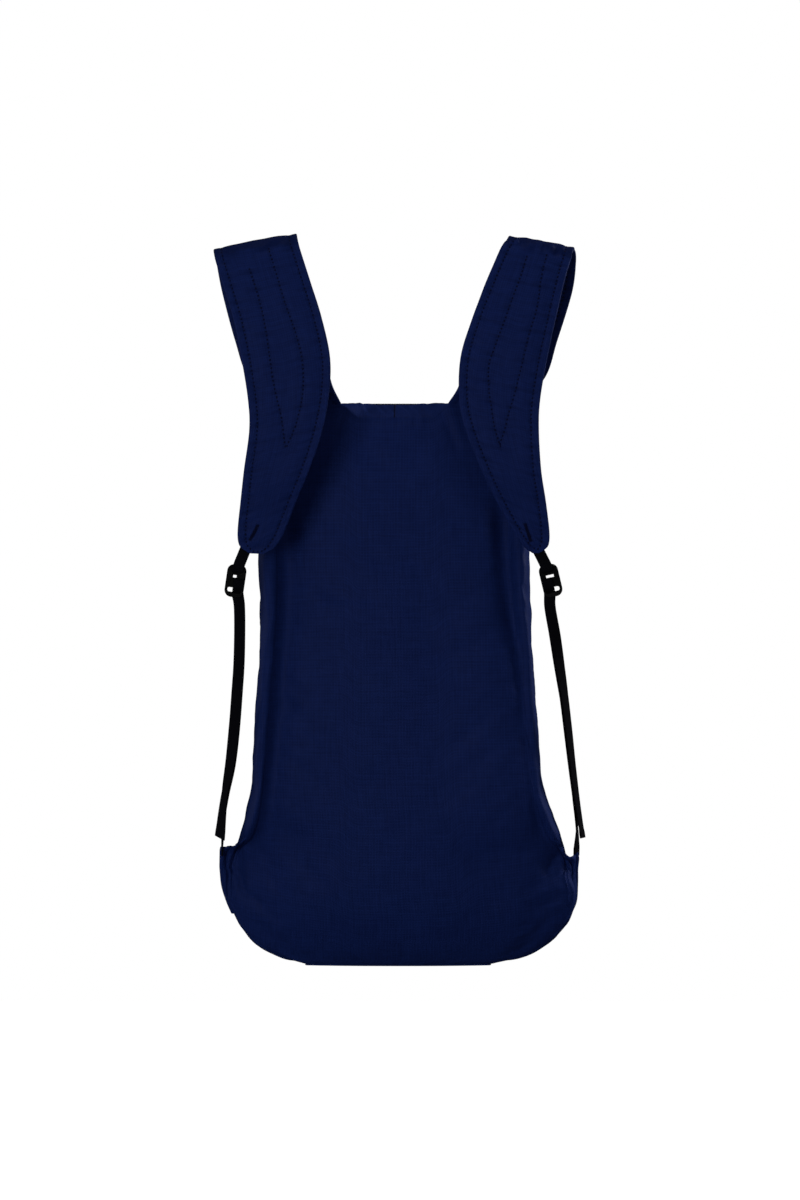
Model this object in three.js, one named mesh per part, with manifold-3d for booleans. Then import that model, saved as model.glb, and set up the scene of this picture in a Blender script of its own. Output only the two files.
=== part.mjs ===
// Lightweight backpack: a hollow ripstop bag of sewn panels, two padded shoulder straps,
// and a webbing adjuster with a ladder lock on each side.
//
// Millimetres, +Z up. The wearer's side faces -Y, and the origin lies between the two
// shoulders, where the straps are carried. Left and right are as seen from the wearer's side.

import * as THREE from 'three';
import { mergeVertices } from 'three/addons/utils/BufferGeometryUtils.js';
import Module from 'manifold-3d';

const wasm = await Module();
wasm.setup();

// Driving dimensions
const CLOTH = 1.2;
const SEAM_GAP = 0.3;
const STRAP_PAD = 4.4;
const STRAP_HEM = 2.6;
const WING_THICK = 2.4;
const WEB_WIDE = 9.5;
const WEB_THICK = 1.2;
const ZIP_Y = 66;
const ZIP_HALF = 74;
const ZIP_RADIUS = 4.3;
const CREST_Z = -127.8;
const RIM_SAG = 10.5;
const SAG_FROM = 30;
const SAG_TO = 46;
const SAG_ROWS = 1.3;
const PANEL_CURVE = 2.4;
const CROWN_BACK = 1.2;
const CROWN_FRONT = 9;
const ZIP_PROUD = 0.4;

const NAVY = { color: 0x0e1739, roughness: 0.62, metalness: 0 };
const NAVY_STRAP = { color: 0x101a3d, roughness: 0.66, metalness: 0 };
const BLACK_WEB = { color: 0x050507, roughness: 0.8, metalness: 0 };
const BLACK_PLASTIC = { color: 0x040405, roughness: 0.45, metalness: 0 };

// A table is a list of rows with named columns.
function table(names, rows) {
  return rows.map((row) => Object.fromEntries(names.map((name, i) => [name, row[i]])));
}

// Level sections of the bag from its rim to its base. z is the height at the back and drop
// how much lower the front is; shift is the sideways lean. back, wide and front are half
// widths at the back seam, at the widest line and at the front seam, and the y columns are
// the depths of the back's middle, the back seam, the widest line, the front seam and the
// front's middle.
const SECTIONS = table(
  ['z', 'drop', 'shift', 'back', 'wide', 'front', 'yBack', 'ySeam', 'yWide', 'yFold', 'yFront'],
  [
    [-130.5, 44, -0.5, 103, 108, 86, 36, 42, 66, 106, 118],
    [-152, 42, -0.5, 105, 113, 92, 30, 40, 68, 120, 136],
    [-200, 36, -1.0, 106, 116, 96, 25, 37, 71, 137, 157],
    [-257, 26, -0.8, 105, 116.5, 98, 21, 35, 73, 146, 170],
    [-296, 18, 0.3, 105, 115.6, 98, 19, 34, 74, 149, 176],
    [-344, 12, 0.9, 106.5, 117.6, 99, 18, 33, 75, 151, 179],
    [-405, 6, 1.0, 110, 122, 101, 18, 34, 75, 151, 179],
    [-452, 2, 1.1, 115, 124.4, 104, 19, 37, 75, 149, 176],
    [-478, 0, 2.6, 120, 131.2, 107, 20, 43, 75, 147, 174],
    [-498, 0, 4.0, 128, 138, 109, 22, 54, 75, 144, 171],
    [-512, 0, 4.2, 138, 142, 111, 24, 66, 76, 141, 168],
    [-532, 0, 4.4, 144, 147, 113, 27, 69, 77, 136, 163],
    [-550, 0, 5.2, 147, 150, 115, 31, 71, 78, 130, 157],
    [-566, 0, 6.4, 141.5, 145.4, 113, 36, 72, 79, 124, 150],
    [-580, 0, 6.1, 133, 136.8, 108, 43, 73, 80, 117, 141],
    [-592, 0, 5.6, 121.5, 125.4, 100, 51, 74, 81, 110, 130],
    [-602, 0, 5.9, 104.5, 107.6, 86, 60, 75, 81, 102, 114],
    [-609, 0, 2.6, 78, 80, 66, 66, 73, 81, 93, 97],
  ],
);
const LAST = SECTIONS.length - 1;
const CORE = { low: -545, high: -190 };

// Soft folds of the back panel, each a line from one (x, z) to another with a half width
// and a depth towards the inside; a ridge has a negative depth.
const FOLDS = table(
  ['x0', 'z0', 'x1', 'z1', 'half', 'depth'],
  [
    [-136, -506, -128, -552, 5, 3.0],
    [-129, -512, -112, -560, 6, -2.0],
    [-126, -500, -100, -540, 9, 1.5],
    [141, -512, 126, -546, 5, 3.0],
    [146, -530, 112, -548, 6, 2.0],
    [144, -546, 108, -566, 6, 2.0],
    [138, -502, 108, -522, 8, -1.5],
    [-104, -250, -106, -440, 9, 1.6],
    [98, -250, 106, -440, 9, 2.4],
  ],
);

// The strap's two edges as seen from the wearer's side, from its seam at the bag's rim over
// the shoulder to its tip; y is the depth of the strap's middle surface.
const STRAP_COLUMNS = ['y', 'xOut', 'zOut', 'xIn', 'zIn'];
const STRAP_LEFT = table(STRAP_COLUMNS, [
  [32, -126, -107, -54.5, -109],
  [26, -137, -76, -58.5, -74],
  [19, -146, -36, -71, -29],
  [11, -150.8, -10, -80, 0],
  [0, -152, -2, -82, 9.5],
  [-10, -150.5, -11, -80, 0],
  [-17, -145.5, -33, -70.5, -30],
  [-22, -138, -62, -61, -60.5],
  [-25, -130, -95.5, -54, -94],
  [-26, -122.5, -129, -55, -125],
  [-25, -121.5, -154, -61, -156],
  [-22, -126, -187, -71.5, -187],
  [-16, -129, -212, -82, -212],
  [-9.5, -131.8, -237, -92, -237],
  [-7.5, -131, -248.5, -98.5, -249],
  [-6.5, -127, -253.5, -104, -254],
  [-6, -121.5, -256.5, -109.5, -257],
]);
const STRAP_RIGHT = table(STRAP_COLUMNS, [
  [32, 129, -107, 55, -111],
  [26, 140.5, -76, 60, -76],
  [19, 150.6, -36, 74, -34],
  [11, 152.6, -11, 89, 0],
  [0, 151, -1.5, 96, 9],
  [-10, 147.5, -10, 88.5, -1],
  [-17, 141, -32, 75.5, -32],
  [-22, 134, -62, 64, -62],
  [-25, 126.7, -95.5, 54.5, -94],
  [-26, 121, -129, 53.5, -129],
  [-25, 120, -154, 59, -154],
  [-22, 122, -187, 72, -187],
  [-16, 126, -212, 84, -212],
  [-9.5, 129.3, -237, 98, -237],
  [-7.5, 129, -248.5, 106, -248.5],
  [-6.5, 126, -253, 111, -253.5],
  [-6, 121.5, -256, 115.5, -256.5],
]);
const STRAP_SEAM = { xOut: 101, xIn: 45, lift: 0.9, back: 0.6 };
const SHOULDER = { x: 100, y: 2, z: -70 };

// The adjusting webbing's main run from below the ladder lock to the wing; twist turns its
// face from the wearer's side to the outside, in degrees.
const RUN_COLUMNS = ['x', 'y', 'z', 'twist'];
const RUN_LEFT = table(RUN_COLUMNS, [
  [-131.2, 11, -300, 0],
  [-131.8, 22, -346, 0],
  [-133.8, 30, -374, 5],
  [-136.4, 39, -404.5, 12],
  [-139.8, 48, -435.5, 34],
  [-144, 55, -460, 58],
  [-146.6, 60, -480, 72],
  [-148.2, 65, -506.3, 82],
]);
const RUN_RIGHT = table(RUN_COLUMNS, [
  [130.4, 11, -300, 2],
  [134.8, 17, -326, 15],
  [138.6, 24, -352, 36],
  [142.6, 32, -378, 52],
  [146.4, 40, -407, 54],
  [150.2, 49, -438, 60],
  [154.2, 57, -468, 62],
  [155.8, 63, -492, 76],
  [155.8, 67, -506.6, 82],
]);
const TAIL_APART = 1.8;
const TAIL_LOOSE = 30;
const TAIL_LEFT = { x: -149.8, y: 55, z: -499, twist: 25 };
const TAIL_RIGHT = { x: 160.4, y: 56, z: -499, twist: 66 };

// Where each ladder lock's top bar hangs, and how far it tips sideways and forwards.
const LOCK_LEFT = { x: -131.6, y: -1, z: -268.3, tilt: 9, pitch: 13, webShift: 1.3, turn: 1 };
const LOCK_RIGHT = { x: 127.4, y: -1, z: -268.3, tilt: -14, pitch: 13, webShift: -1.3, turn: -1 };
const LOCK = {
  wide: 17.6, top: 2.2, bottom: -25.6, thick: 3, corner: 4.5,
  slots: table(['wide', 'high', 'low'], [[11.2, -1.6, -5.4], [12.8, -8.2, -12], [12.8, -16.4, -22.6]]),
};

// The wing's free outer edge, from the webbing's end down to the bag.
const WING_COLUMNS = ['x', 'y', 'z'];
const WING_LEFT = table(WING_COLUMNS, [
  [-149.4, 67, -507.2], [-150.4, 68, -512], [-150.6, 70, -524], [-149.4, 74, -538], [-145.4, 78, -554],
]);
const WING_RIGHT = table(WING_COLUMNS, [
  [156.8, 67, -509], [157.6, 68, -517], [156.6, 71, -529], [156.8, 75, -541], [156.6, 78, -555],
]);
const WING_OFF = 1.1;
const WING_FOLD = 2;
const WING_ROWS = { from: 9.15, to: 12.4 };

const degrees = THREE.MathUtils.degToRad;
const smooth = (x, from, to) => THREE.MathUtils.smoothstep(x, from, to);
const lerp = THREE.MathUtils.lerp;

// A smooth curve through one column of a table, at station t.
function curve(rows, name, t) {
  const last = rows.length - 1;
  const i = Math.min(Math.floor(t), last - 1);
  const at = (k) => {
    if (k < 0) return 2 * rows[0][name] - rows[1][name];
    if (k > last) return 2 * rows[last][name] - rows[last - 1][name];
    return rows[k][name];
  };
  const f = t - i;
  const [a, b, c, d] = [at(i - 1), at(i), at(i + 1), at(i + 2)];
  return b + 0.5 * f * (c - a + f * (2 * a - 5 * b + 4 * c - d + f * (3 * (b - c) + d - a)));
}

function steps(from, to, count) {
  return Array.from({ length: count + 1 }, (_, i) => lerp(from, to, i / count));
}

// Stations that crowd towards both ends.
function crowded(from, to, count) {
  const ease = (s) => lerp(s, 0.5 - 0.5 * Math.cos(Math.PI * s), 0.5);
  return steps(0, 1, count).map((s) => lerp(from, to, ease(s)));
}

// A closed mesh from vertices and triangles, turned so that its faces point out.
function closedMesh(vertices, triangles) {
  const geometry = new THREE.BufferGeometry();
  const places = vertices.flatMap((p) => p.toArray());
  geometry.setAttribute('position', new THREE.Float32BufferAttribute(places, 3));
  const cross = new THREE.Vector3();
  const volume = triangles.reduce((sum, [a, b, c]) => (
    sum + vertices[a].dot(cross.crossVectors(vertices[b], vertices[c]))), 0);
  geometry.setIndex(triangles.flatMap(([a, b, c]) => (volume < 0 ? [a, c, b] : [a, b, c])));
  geometry.computeVertexNormals();
  return geometry;
}

// A sheet solid over a grid of (u, v): point gives its outer face, normal its outward
// direction and wall its thickness. share is how much of the wall lies inside the point.
// Each edge is drawn in by trim towards the sheet's own middle.
function sheet({ point, normal, us, vs, wall, share = 1, trim = SEAM_GAP / 2 }) {
  const [nu, nv] = [us.length, vs.length];
  const grid = vs.map((v) => us.map((u) => point(u, v)));
  const trimmed = grid.map((row) => row.map((p) => p.clone()));
  const draw = (j, i, dj, di) => {
    const step = grid[j + dj][i + di].clone().sub(grid[j][i]);
    trimmed[j][i].add(step.setLength(trim));
  };
  if (trim > 0) {
    for (let j = 0; j < nv; j += 1) {
      draw(j, 0, 0, 1);
      draw(j, nu - 1, 0, -1);
    }
    for (let i = 0; i < nu; i += 1) {
      draw(0, i, 1, 0);
      draw(nv - 1, i, -1, 0);
    }
  }
  const faces = { outer: [], inner: [] };
  vs.forEach((v, j) => us.forEach((u, i) => {
    const out = normal(u, v);
    const thick = wall(u, v);
    faces.outer.push(trimmed[j][i].clone().addScaledVector(out, thick * (1 - share)));
    faces.inner.push(trimmed[j][i].clone().addScaledVector(out, -thick * share));
  }));
  const inner = nu * nv;
  const at = (j, i) => j * nu + i;
  const triangles = [];
  const quad = (a, b, c, d) => triangles.push([a, b, c], [a, c, d]);
  for (let j = 0; j + 1 < nv; j += 1) {
    for (let i = 0; i + 1 < nu; i += 1) {
      const [a, b, c, d] = [at(j, i), at(j, i + 1), at(j + 1, i + 1), at(j + 1, i)];
      quad(a, b, c, d);
      quad(inner + a, inner + d, inner + c, inner + b);
    }
    quad(at(j, 0), at(j + 1, 0), inner + at(j + 1, 0), inner + at(j, 0));
    quad(at(j, nu - 1), inner + at(j, nu - 1), inner + at(j + 1, nu - 1), at(j + 1, nu - 1));
  }
  for (let i = 0; i + 1 < nu; i += 1) {
    quad(at(0, i + 1), at(0, i), inner + at(0, i), inner + at(0, i + 1));
    quad(at(nv - 1, i), at(nv - 1, i + 1), inner + at(nv - 1, i + 1), inner + at(nv - 1, i));
  }
  return closedMesh([...faces.outer, ...faces.inner], triangles);
}

// A surface's normal by differences, turned to the side that away points to.
function surfaceNormal(point, u, v, du, dv, away) {
  const across = point(u + du, v).sub(point(u - du, v));
  const along = point(u, v + dv).sub(point(u, v - dv));
  const normal = across.cross(along).normalize();
  return normal.dot(away) < 0 ? normal.negate() : normal;
}

// The bag's surface. q runs round a section: 0 is the middle of the back, 1 the back seam,
// 2 the widest line, 3 the front seam and 4 the middle of the front, negative on the left.
// t is the station from the rim to the base.
function foldDepth(x, z) {
  return FOLDS.reduce((sum, f) => {
    const [dx, dz] = [f.x1 - f.x0, f.z1 - f.z0];
    const s = THREE.MathUtils.clamp(((x - f.x0) * dx + (z - f.z0) * dz) / (dx * dx + dz * dz), 0, 1);
    const away = Math.hypot(x - f.x0 - s * dx, z - f.z0 - s * dz) / f.half;
    return sum + f.depth * Math.exp(-away * away);
  }, 0);
}

function wrap(q) {
  if (q > 4) return q - 8;
  return q < -4 ? q + 8 : q;
}

function bagPoint(q, t) {
  const wrapped = wrap(q);
  const k = Math.abs(wrapped);
  const at = (name) => curve(SECTIONS, name, t);
  let [x, y] = [0, 0];
  if (k <= 1) {
    x = at('back') * k;
    y = lerp(at('yBack'), at('ySeam'), k ** PANEL_CURVE);
  } else if (k <= 2) {
    const turn = (k - 1) * Math.PI / 2;
    x = lerp(at('back'), at('wide'), Math.sin(turn));
    y = lerp(at('yWide'), at('ySeam'), Math.cos(turn));
  } else if (k <= 3) {
    const turn = (k - 2) * Math.PI / 2;
    x = lerp(at('front'), at('wide'), Math.cos(turn));
    y = lerp(at('yWide'), at('yFold'), Math.sin(turn));
  } else {
    x = at('front') * (4 - k);
    y = lerp(at('yFront'), at('yFold'), (4 - k) ** PANEL_CURVE);
  }
  x = x * Math.sign(wrapped) + at('shift');
  let z = at('z') - at('drop') * smooth(y, at('yBack'), at('yFront'));
  if (k < 2) {
    y += foldDepth(x, z) * (1 - smooth(k, 0.9, 1.7)) * (1 - smooth(t, LAST - 2, LAST));
    z -= RIM_SAG * (1 - smooth(Math.abs(x), SAG_FROM, SAG_TO)) * (1 - smooth(t, 0, SAG_ROWS));
  }
  return new THREE.Vector3(x, y, z);
}

function bagAway(q, t) {
  const p = bagPoint(q, t);
  const height = THREE.MathUtils.clamp(p.z, CORE.low, CORE.high);
  return p.sub(new THREE.Vector3(0, curve(SECTIONS, 'yWide', t), height));
}

function bagNormal(q, t) {
  if (t >= LAST) return new THREE.Vector3(0, 0, -1);
  if (t <= 0) return rimNormal(q);
  return surfaceNormal(bagPoint, q, t, 0.03, 0.02, bagAway(q, t));
}

// The mouth of the zip, a long slot with round ends along the crest.
function zipPoint(q, radius) {
  const k = Math.abs(wrap(q));
  const [start, end] = [1.6, 2.4];
  const half = ZIP_HALF;
  let [x, y] = [half * k / start, ZIP_Y - radius];
  if (k > end) {
    [x, y] = [half * (4 - k) / start, ZIP_Y + radius];
  } else if (k > start) {
    const turn = (k - start) / (end - start) * Math.PI;
    [x, y] = [half + radius * Math.sin(turn), ZIP_Y - radius * Math.cos(turn)];
  }
  return new THREE.Vector3(x * Math.sign(wrap(q)), y, CREST_Z);
}

// The crowned top between the rim, w = 0, and the zip's slot, w = 1.
function topPoint(q, w) {
  const p = bagPoint(q, 0).lerp(zipPoint(q, ZIP_RADIUS), w);
  p.z += lerp(CROWN_BACK, CROWN_FRONT, smooth(Math.abs(wrap(q)), 1, 4)) * Math.sin(Math.PI * w);
  return p;
}

function topNormal(q, w) {
  if (w >= 1) return new THREE.Vector3(0, 0, 1);
  if (w <= 0) return rimNormal(q);
  return surfaceNormal(topPoint, q, w, 0.03, 0.02, bagAway(q, 0));
}

// Along the rim both walls share one mitre.
function rimNormal(q) {
  const side = surfaceNormal(bagPoint, q, 0.06, 0.03, 0.05, bagAway(q, 0));
  const top = surfaceNormal(topPoint, q, 0.06, 0.03, 0.05, bagAway(q, 0));
  return side.add(top).normalize();
}

const cloth = () => CLOTH;
const bagPanel = (us, vs) => sheet({ point: bagPoint, normal: bagNormal, us, vs, wall: cloth });
const topPanel = (us) => sheet({ point: topPoint, normal: topNormal, us, vs: steps(0, 1, 3), wall: cloth });

// Panels that meet at a seam share its stations.
const BACK_STATIONS = crowded(-1, 1, 24);
const FRONT_STATIONS = crowded(3, 5, 12);
const sideStations = (from, to) => steps(from, to, 3 * Math.abs(to - from));
const ROW_STATIONS = steps(0, LAST, 28);
const TOP_BACK = [...sideStations(-2, -1), ...BACK_STATIONS.slice(1, -1), ...sideStations(1, 2)];
const TOP_FRONT = [...sideStations(2, 3), ...FRONT_STATIONS.slice(1, -1), ...sideStations(5, 6)];
const LOOP = [...TOP_BACK.slice(1), ...TOP_FRONT.slice(1)];

// A flat plate with an outline in X and Y, from one height to another.
function plate(outline, low, high) {
  const shape = new THREE.Shape(outline.map((p) => new THREE.Vector2(p.x, p.y)));
  const geometry = new THREE.ExtrudeGeometry(shape, { depth: high - low, bevelEnabled: false });
  return geometry.translate(0, 0, low);
}

// The base lies inside the bag's last section with a seam gap on all sides.
function basePanel() {
  const base = SECTIONS[LAST];
  const middle = new THREE.Vector3(base.shift, (base.yBack + base.yFront) / 2, 0);
  const gap = 2 * SEAM_GAP;
  const shrink = new THREE.Vector3(1 - gap / base.back, 1 - gap / (base.yFront - middle.y), 1);
  const outline = LOOP.map((q) => bagPoint(q, LAST).sub(middle).multiply(shrink).add(middle));
  return plate(outline, base.z, base.z + CLOTH);
}

function zipStrip() {
  const outline = LOOP.map((q) => zipPoint(q, ZIP_RADIUS - SEAM_GAP));
  return plate(outline, CREST_Z - CLOTH, CREST_Z + ZIP_PROUD);
}

// A padded strap between its two edge curves; its first row follows the bag's rim.
function strap(rows, side) {
  const rim = (x) => {
    const k = x / curve(SECTIONS, 'back', 0);
    return bagPoint(side * k, 0);
  };
  const [outer, inner] = [rim(STRAP_SEAM.xOut), rim(STRAP_SEAM.xIn)];
  const seam = {
    y: (outer.y + inner.y) / 2 + STRAP_SEAM.back,
    xOut: outer.x, zOut: outer.z + STRAP_SEAM.lift, xIn: inner.x, zIn: inner.z + STRAP_SEAM.lift,
  };
  const stations = [seam, ...rows];
  const last = stations.length - 1;
  const slant = (outer.y - inner.y) / 2;
  const point = (w, t) => {
    const at = (name) => curve(stations, name, t);
    const tip = slant * w * (1 - smooth(t, 0, 3));
    return new THREE.Vector3(
      lerp(at('xIn'), at('xOut'), (w + 1) / 2), at('y') + tip, lerp(at('zIn'), at('zOut'), (w + 1) / 2),
    );
  };
  const normal = (w, t) => {
    const middle = new THREE.Vector3(side * SHOULDER.x, SHOULDER.y, SHOULDER.z);
    return surfaceNormal(point, w, t, 0.05, 0.05, point(w, t).sub(middle));
  };
  const wall = (w, t) => {
    const full = smooth(t, 0, 1.5) * (1 - smooth(t, last - 4, last - 0.5));
    return lerp(STRAP_HEM, STRAP_PAD, full * (1 - Math.abs(w) ** 5));
  };
  return sheet({ point, normal, us: steps(-1, 1, 6), vs: steps(0, last, 36), wall, share: 0.5, trim: 0 });
}

// A ribbon with a flat section through stations that hold a place and an across direction.
function ribbon(stations, perSpan) {
  const path = new THREE.CatmullRomCurve3(stations.map((s) => s.place), false, 'centripetal');
  const spans = stations.length - 1;
  const samples = steps(0, spans, spans * perSpan).map((t) => {
    const i = Math.min(Math.floor(t), spans - 1);
    const place = path.getPoint(t / spans);
    const along = path.getTangent(t / spans);
    const across = stations[i].across.clone().lerp(stations[i + 1].across, t - i);
    across.addScaledVector(along, -across.dot(along)).normalize();
    return { place, across, face: along.clone().cross(across) };
  });
  const corner = (s, a, f) => s.place.clone().addScaledVector(s.across, a * WEB_WIDE / 2)
    .addScaledVector(s.face, f * WEB_THICK / 2);
  const corners = [[-1, -1], [1, -1], [1, 1], [-1, 1]];
  const vertices = samples.flatMap((s) => corners.map(([a, f]) => corner(s, a, f)));
  const triangles = [[0, 1, 2], [0, 2, 3]];
  const end = vertices.length - 4;
  triangles.push([end, end + 2, end + 1], [end, end + 3, end + 2]);
  for (let s = 0; s < end; s += 4) {
    for (let k = 0; k < 4; k += 1) {
      const [a, b] = [s + k, s + (k + 1) % 4];
      triangles.push([a, a + 4, b + 4], [a, b + 4, b]);
    }
  }
  return closedMesh(vertices, triangles);
}

// The ladder lock's own frame: X across, Y to the back, Z up along the webbing.
function lockFrame(lock) {
  const [tilt, pitch] = [degrees(lock.tilt), degrees(lock.pitch)];
  const level = Math.cos(pitch);
  const up = new THREE.Vector3(Math.sin(tilt) * level, -Math.sin(pitch), Math.cos(tilt) * level);
  const across = new THREE.Vector3(1, 0, 0).addScaledVector(up, -up.x).normalize();
  const back = up.clone().cross(across);
  return new THREE.Matrix4().makeBasis(across, back, up).setPosition(lock.x, lock.y, lock.z);
}

function toSolid(geometry) {
  const bare = geometry.clone();
  bare.deleteAttribute('normal');
  bare.deleteAttribute('uv');
  const merged = mergeVertices(bare, 1e-4);
  return new wasm.Manifold(new wasm.Mesh({
    numProp: 3,
    vertProperties: new Float32Array(merged.attributes.position.array),
    triVerts: new Uint32Array(merged.index.array),
  }));
}

function fromSolid(solid) {
  const mesh = solid.getMesh();
  const geometry = new THREE.BufferGeometry();
  geometry.setAttribute('position', new THREE.BufferAttribute(new Float32Array(mesh.vertProperties), 3));
  geometry.setIndex(new THREE.BufferAttribute(new Uint32Array(mesh.triVerts), 1));
  geometry.computeVertexNormals();
  return geometry;
}

// A rounded rectangle in X and Z, as thick along Y as given.
function roundedBar(wide, high, low, corner, thick) {
  const shape = new THREE.Shape();
  const [x, r] = [wide / 2, corner];
  shape.moveTo(-x + r, low).lineTo(x - r, low).absarc(x - r, low + r, r, -Math.PI / 2, 0);
  shape.lineTo(x, high - r).absarc(x - r, high - r, r, 0, Math.PI / 2);
  shape.lineTo(-x + r, high).absarc(-x + r, high - r, r, Math.PI / 2, Math.PI);
  shape.lineTo(-x, low + r).absarc(-x + r, low + r, r, Math.PI, 1.5 * Math.PI);
  const options = { depth: thick, bevelEnabled: false, curveSegments: 3 };
  const geometry = new THREE.ExtrudeGeometry(shape, options);
  return geometry.rotateX(Math.PI / 2).translate(0, thick / 2, 0);
}

function ladderLock() {
  let body = toSolid(roundedBar(LOCK.wide, LOCK.top, LOCK.bottom, LOCK.corner, LOCK.thick));
  LOCK.slots.forEach((slot) => {
    const hole = new THREE.BoxGeometry(slot.wide, 2 * LOCK.thick, slot.high - slot.low);
    body = body.subtract(toSolid(hole.translate(0, 0, (slot.high + slot.low) / 2)));
  });
  return fromSolid(body);
}

// Webbing stations in a ladder lock's frame, from rows of x, y and z.
function threaded(frame, rows) {
  const across = new THREE.Vector3().setFromMatrixColumn(frame, 0);
  return rows.map(([x, y, z]) => {
    const place = new THREE.Vector3(x, y, z).applyMatrix4(frame);
    return { place, across: across.clone() };
  });
}

// The doubled webbing from behind the strap's tip round the lock's top bar; it leans towards
// the bag on its way up.
function strapEndWebbing(lock) {
  const rows = table(['lean', 'y', 'z'], [
    [9.4, 0.9, 20], [6.4, 0.7, 14], [4.2, 0.3, 9.4], [2.2, -1.0, 5.2], [0.6, -2.6, 1.6], [0.2, -2.8, -0.6],
    [0, -2.3, -2.5], [0, -1.1, -3.7], [0, 1.1, -3.7], [0, 2.3, -2.5], [0.2, 2.7, -0.6], [0.6, 2.7, 1.6],
    [2.2, 2.4, 5.2], [4.2, 2.2, 9.4], [6.4, 2.4, 14], [9.4, 2.6, 20],
  ]);
  return ribbon(threaded(lockFrame(lock), rows.map((r) => [lock.turn * r.lean, r.y, r.z])), 2);
}

// The adjusting webbing: up from the wing, through the lock's slots, and down again as a
// free tail that lies on the main run.
function adjuster(lock, run, tail) {
  const side = -lock.turn;
  const station = (row, apart) => {
    const twist = degrees(row.twist);
    const face = new THREE.Vector3(side * Math.sin(twist), -Math.cos(twist), 0);
    const across = new THREE.Vector3(Math.cos(twist), side * Math.sin(twist), 0);
    return { place: new THREE.Vector3(row.x, row.y, row.z).addScaledVector(face, apart), across };
  };
  const slots = table(['y', 'z'], [
    [4.7, -22], [4.4, -16], [3.6, -12.4], [2, -10.3], [0, -9.8], [-2, -10.3], [-2.8, -12.2],
    [-2.8, -16], [-1.4, -18.4], [0.6, -20.1], [2.2, -21.7], [2.8, -23.6],
  ]);
  const turn = threaded(lockFrame(lock), slots.map((r) => [lock.webShift, r.y, r.z]));
  const up = run.slice().reverse().map((row) => station(row, 0));
  const beside = run.filter((row) => row.z > tail.z + TAIL_LOOSE).map((row) => station(row, TAIL_APART));
  return ribbon([...up, ...turn, ...beside, station(tail, 0)], 2);
}

// A wing: two layers of cloth between the bag's side and a free outer edge.
function wing(rows, side, hollow) {
  const last = rows.length - 1;
  const point = (w, t) => {
    const root = bagPoint(side * 2, lerp(WING_ROWS.from, WING_ROWS.to, t / last));
    root.x += side * WING_OFF;
    const edge = new THREE.Vector3(curve(rows, 'x', t), curve(rows, 'y', t), curve(rows, 'z', t));
    const p = root.lerp(edge, w);
    const top = (1 - t / last) ** 2;
    p.y += WING_FOLD * Math.sin(2 * Math.PI * w) * top;
    p.z -= hollow * Math.sin(Math.PI * w) * top;
    return p;
  };
  const normal = (w, t) => surfaceNormal(point, w, t, 0.03, 0.03, new THREE.Vector3(0, -1, 0));
  const wall = () => WING_THICK;
  return sheet({ point, normal, us: steps(0, 1, 6), vs: steps(0, last, 8), wall, share: 0.5, trim: 0 });
}

function node(name, geometry, finish) {
  const mesh = new THREE.Mesh(geometry, new THREE.MeshStandardMaterial(finish));
  mesh.name = name;
  return mesh;
}

const backpack = new THREE.Group();

backpack.add(
  node('back_panel', bagPanel(BACK_STATIONS, ROW_STATIONS), NAVY),
  node('front_panel', bagPanel(FRONT_STATIONS, ROW_STATIONS), NAVY),
  node('top_panel_back', topPanel(TOP_BACK), NAVY),
  node('top_panel_front', topPanel(TOP_FRONT), NAVY),
  node('top_zip', zipStrip(), BLACK_WEB),
  node('base_panel', basePanel(), NAVY),
);

[
  {
    name: 'left', side: -1, edges: STRAP_LEFT, lock: LOCK_LEFT,
    run: RUN_LEFT, tail: TAIL_LEFT, tab: WING_LEFT, hollow: 3.5,
  },
  {
    name: 'right', side: 1, edges: STRAP_RIGHT, lock: LOCK_RIGHT,
    run: RUN_RIGHT, tail: TAIL_RIGHT, tab: WING_RIGHT, hollow: 9,
  },
].forEach(({ name, side, edges, lock, run, tail, tab, hollow }) => {
  const buckle = node(`ladder_lock_${name}`, ladderLock(), BLACK_PLASTIC);
  lockFrame(lock).decompose(buckle.position, buckle.quaternion, buckle.scale);
  backpack.add(
    node(`side_gusset_${name}`, bagPanel(sideStations(2 * side - 1, 2 * side + 1), ROW_STATIONS), NAVY),
    node(`shoulder_strap_${name}`, strap(edges, side), NAVY_STRAP),
    node(`strap_end_webbing_${name}`, strapEndWebbing(lock), BLACK_WEB),
    buckle,
    node(`webbing_${name}`, adjuster(lock, run, tail), BLACK_WEB),
    node(`wing_${name}`, wing(tab, side, hollow), NAVY),
  );
});

export default backpack;
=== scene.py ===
# %% [markdown]
# # A lightweight backpack
#
# The frame holds the bag as plain solids at their real size: panels, straps, webbing, buckles.
# This lesson dresses them in Blender. Each cloth panel is rebuilt as a fine sheet that follows the
# same sections as its solid, so that folds, seams and slack can be modelled instead of painted.
# The wearer's side faces -Y, +Z is up, and the origin lies between the two shoulders.

# %% Load the frame
import math

import bpy
import numpy as np
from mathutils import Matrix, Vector


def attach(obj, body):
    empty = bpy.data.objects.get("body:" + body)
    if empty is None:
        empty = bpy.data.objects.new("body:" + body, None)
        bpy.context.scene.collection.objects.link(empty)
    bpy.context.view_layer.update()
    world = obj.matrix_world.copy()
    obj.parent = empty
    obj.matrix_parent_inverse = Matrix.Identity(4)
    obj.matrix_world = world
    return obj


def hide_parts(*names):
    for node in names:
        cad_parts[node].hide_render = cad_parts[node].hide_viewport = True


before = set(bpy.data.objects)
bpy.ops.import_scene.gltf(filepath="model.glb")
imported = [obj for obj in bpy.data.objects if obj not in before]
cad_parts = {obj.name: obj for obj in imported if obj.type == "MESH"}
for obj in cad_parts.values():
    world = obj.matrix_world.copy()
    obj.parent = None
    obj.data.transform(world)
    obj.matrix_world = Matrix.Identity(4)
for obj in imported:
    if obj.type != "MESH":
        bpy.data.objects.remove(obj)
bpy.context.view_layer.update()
MM = 0.001
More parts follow.
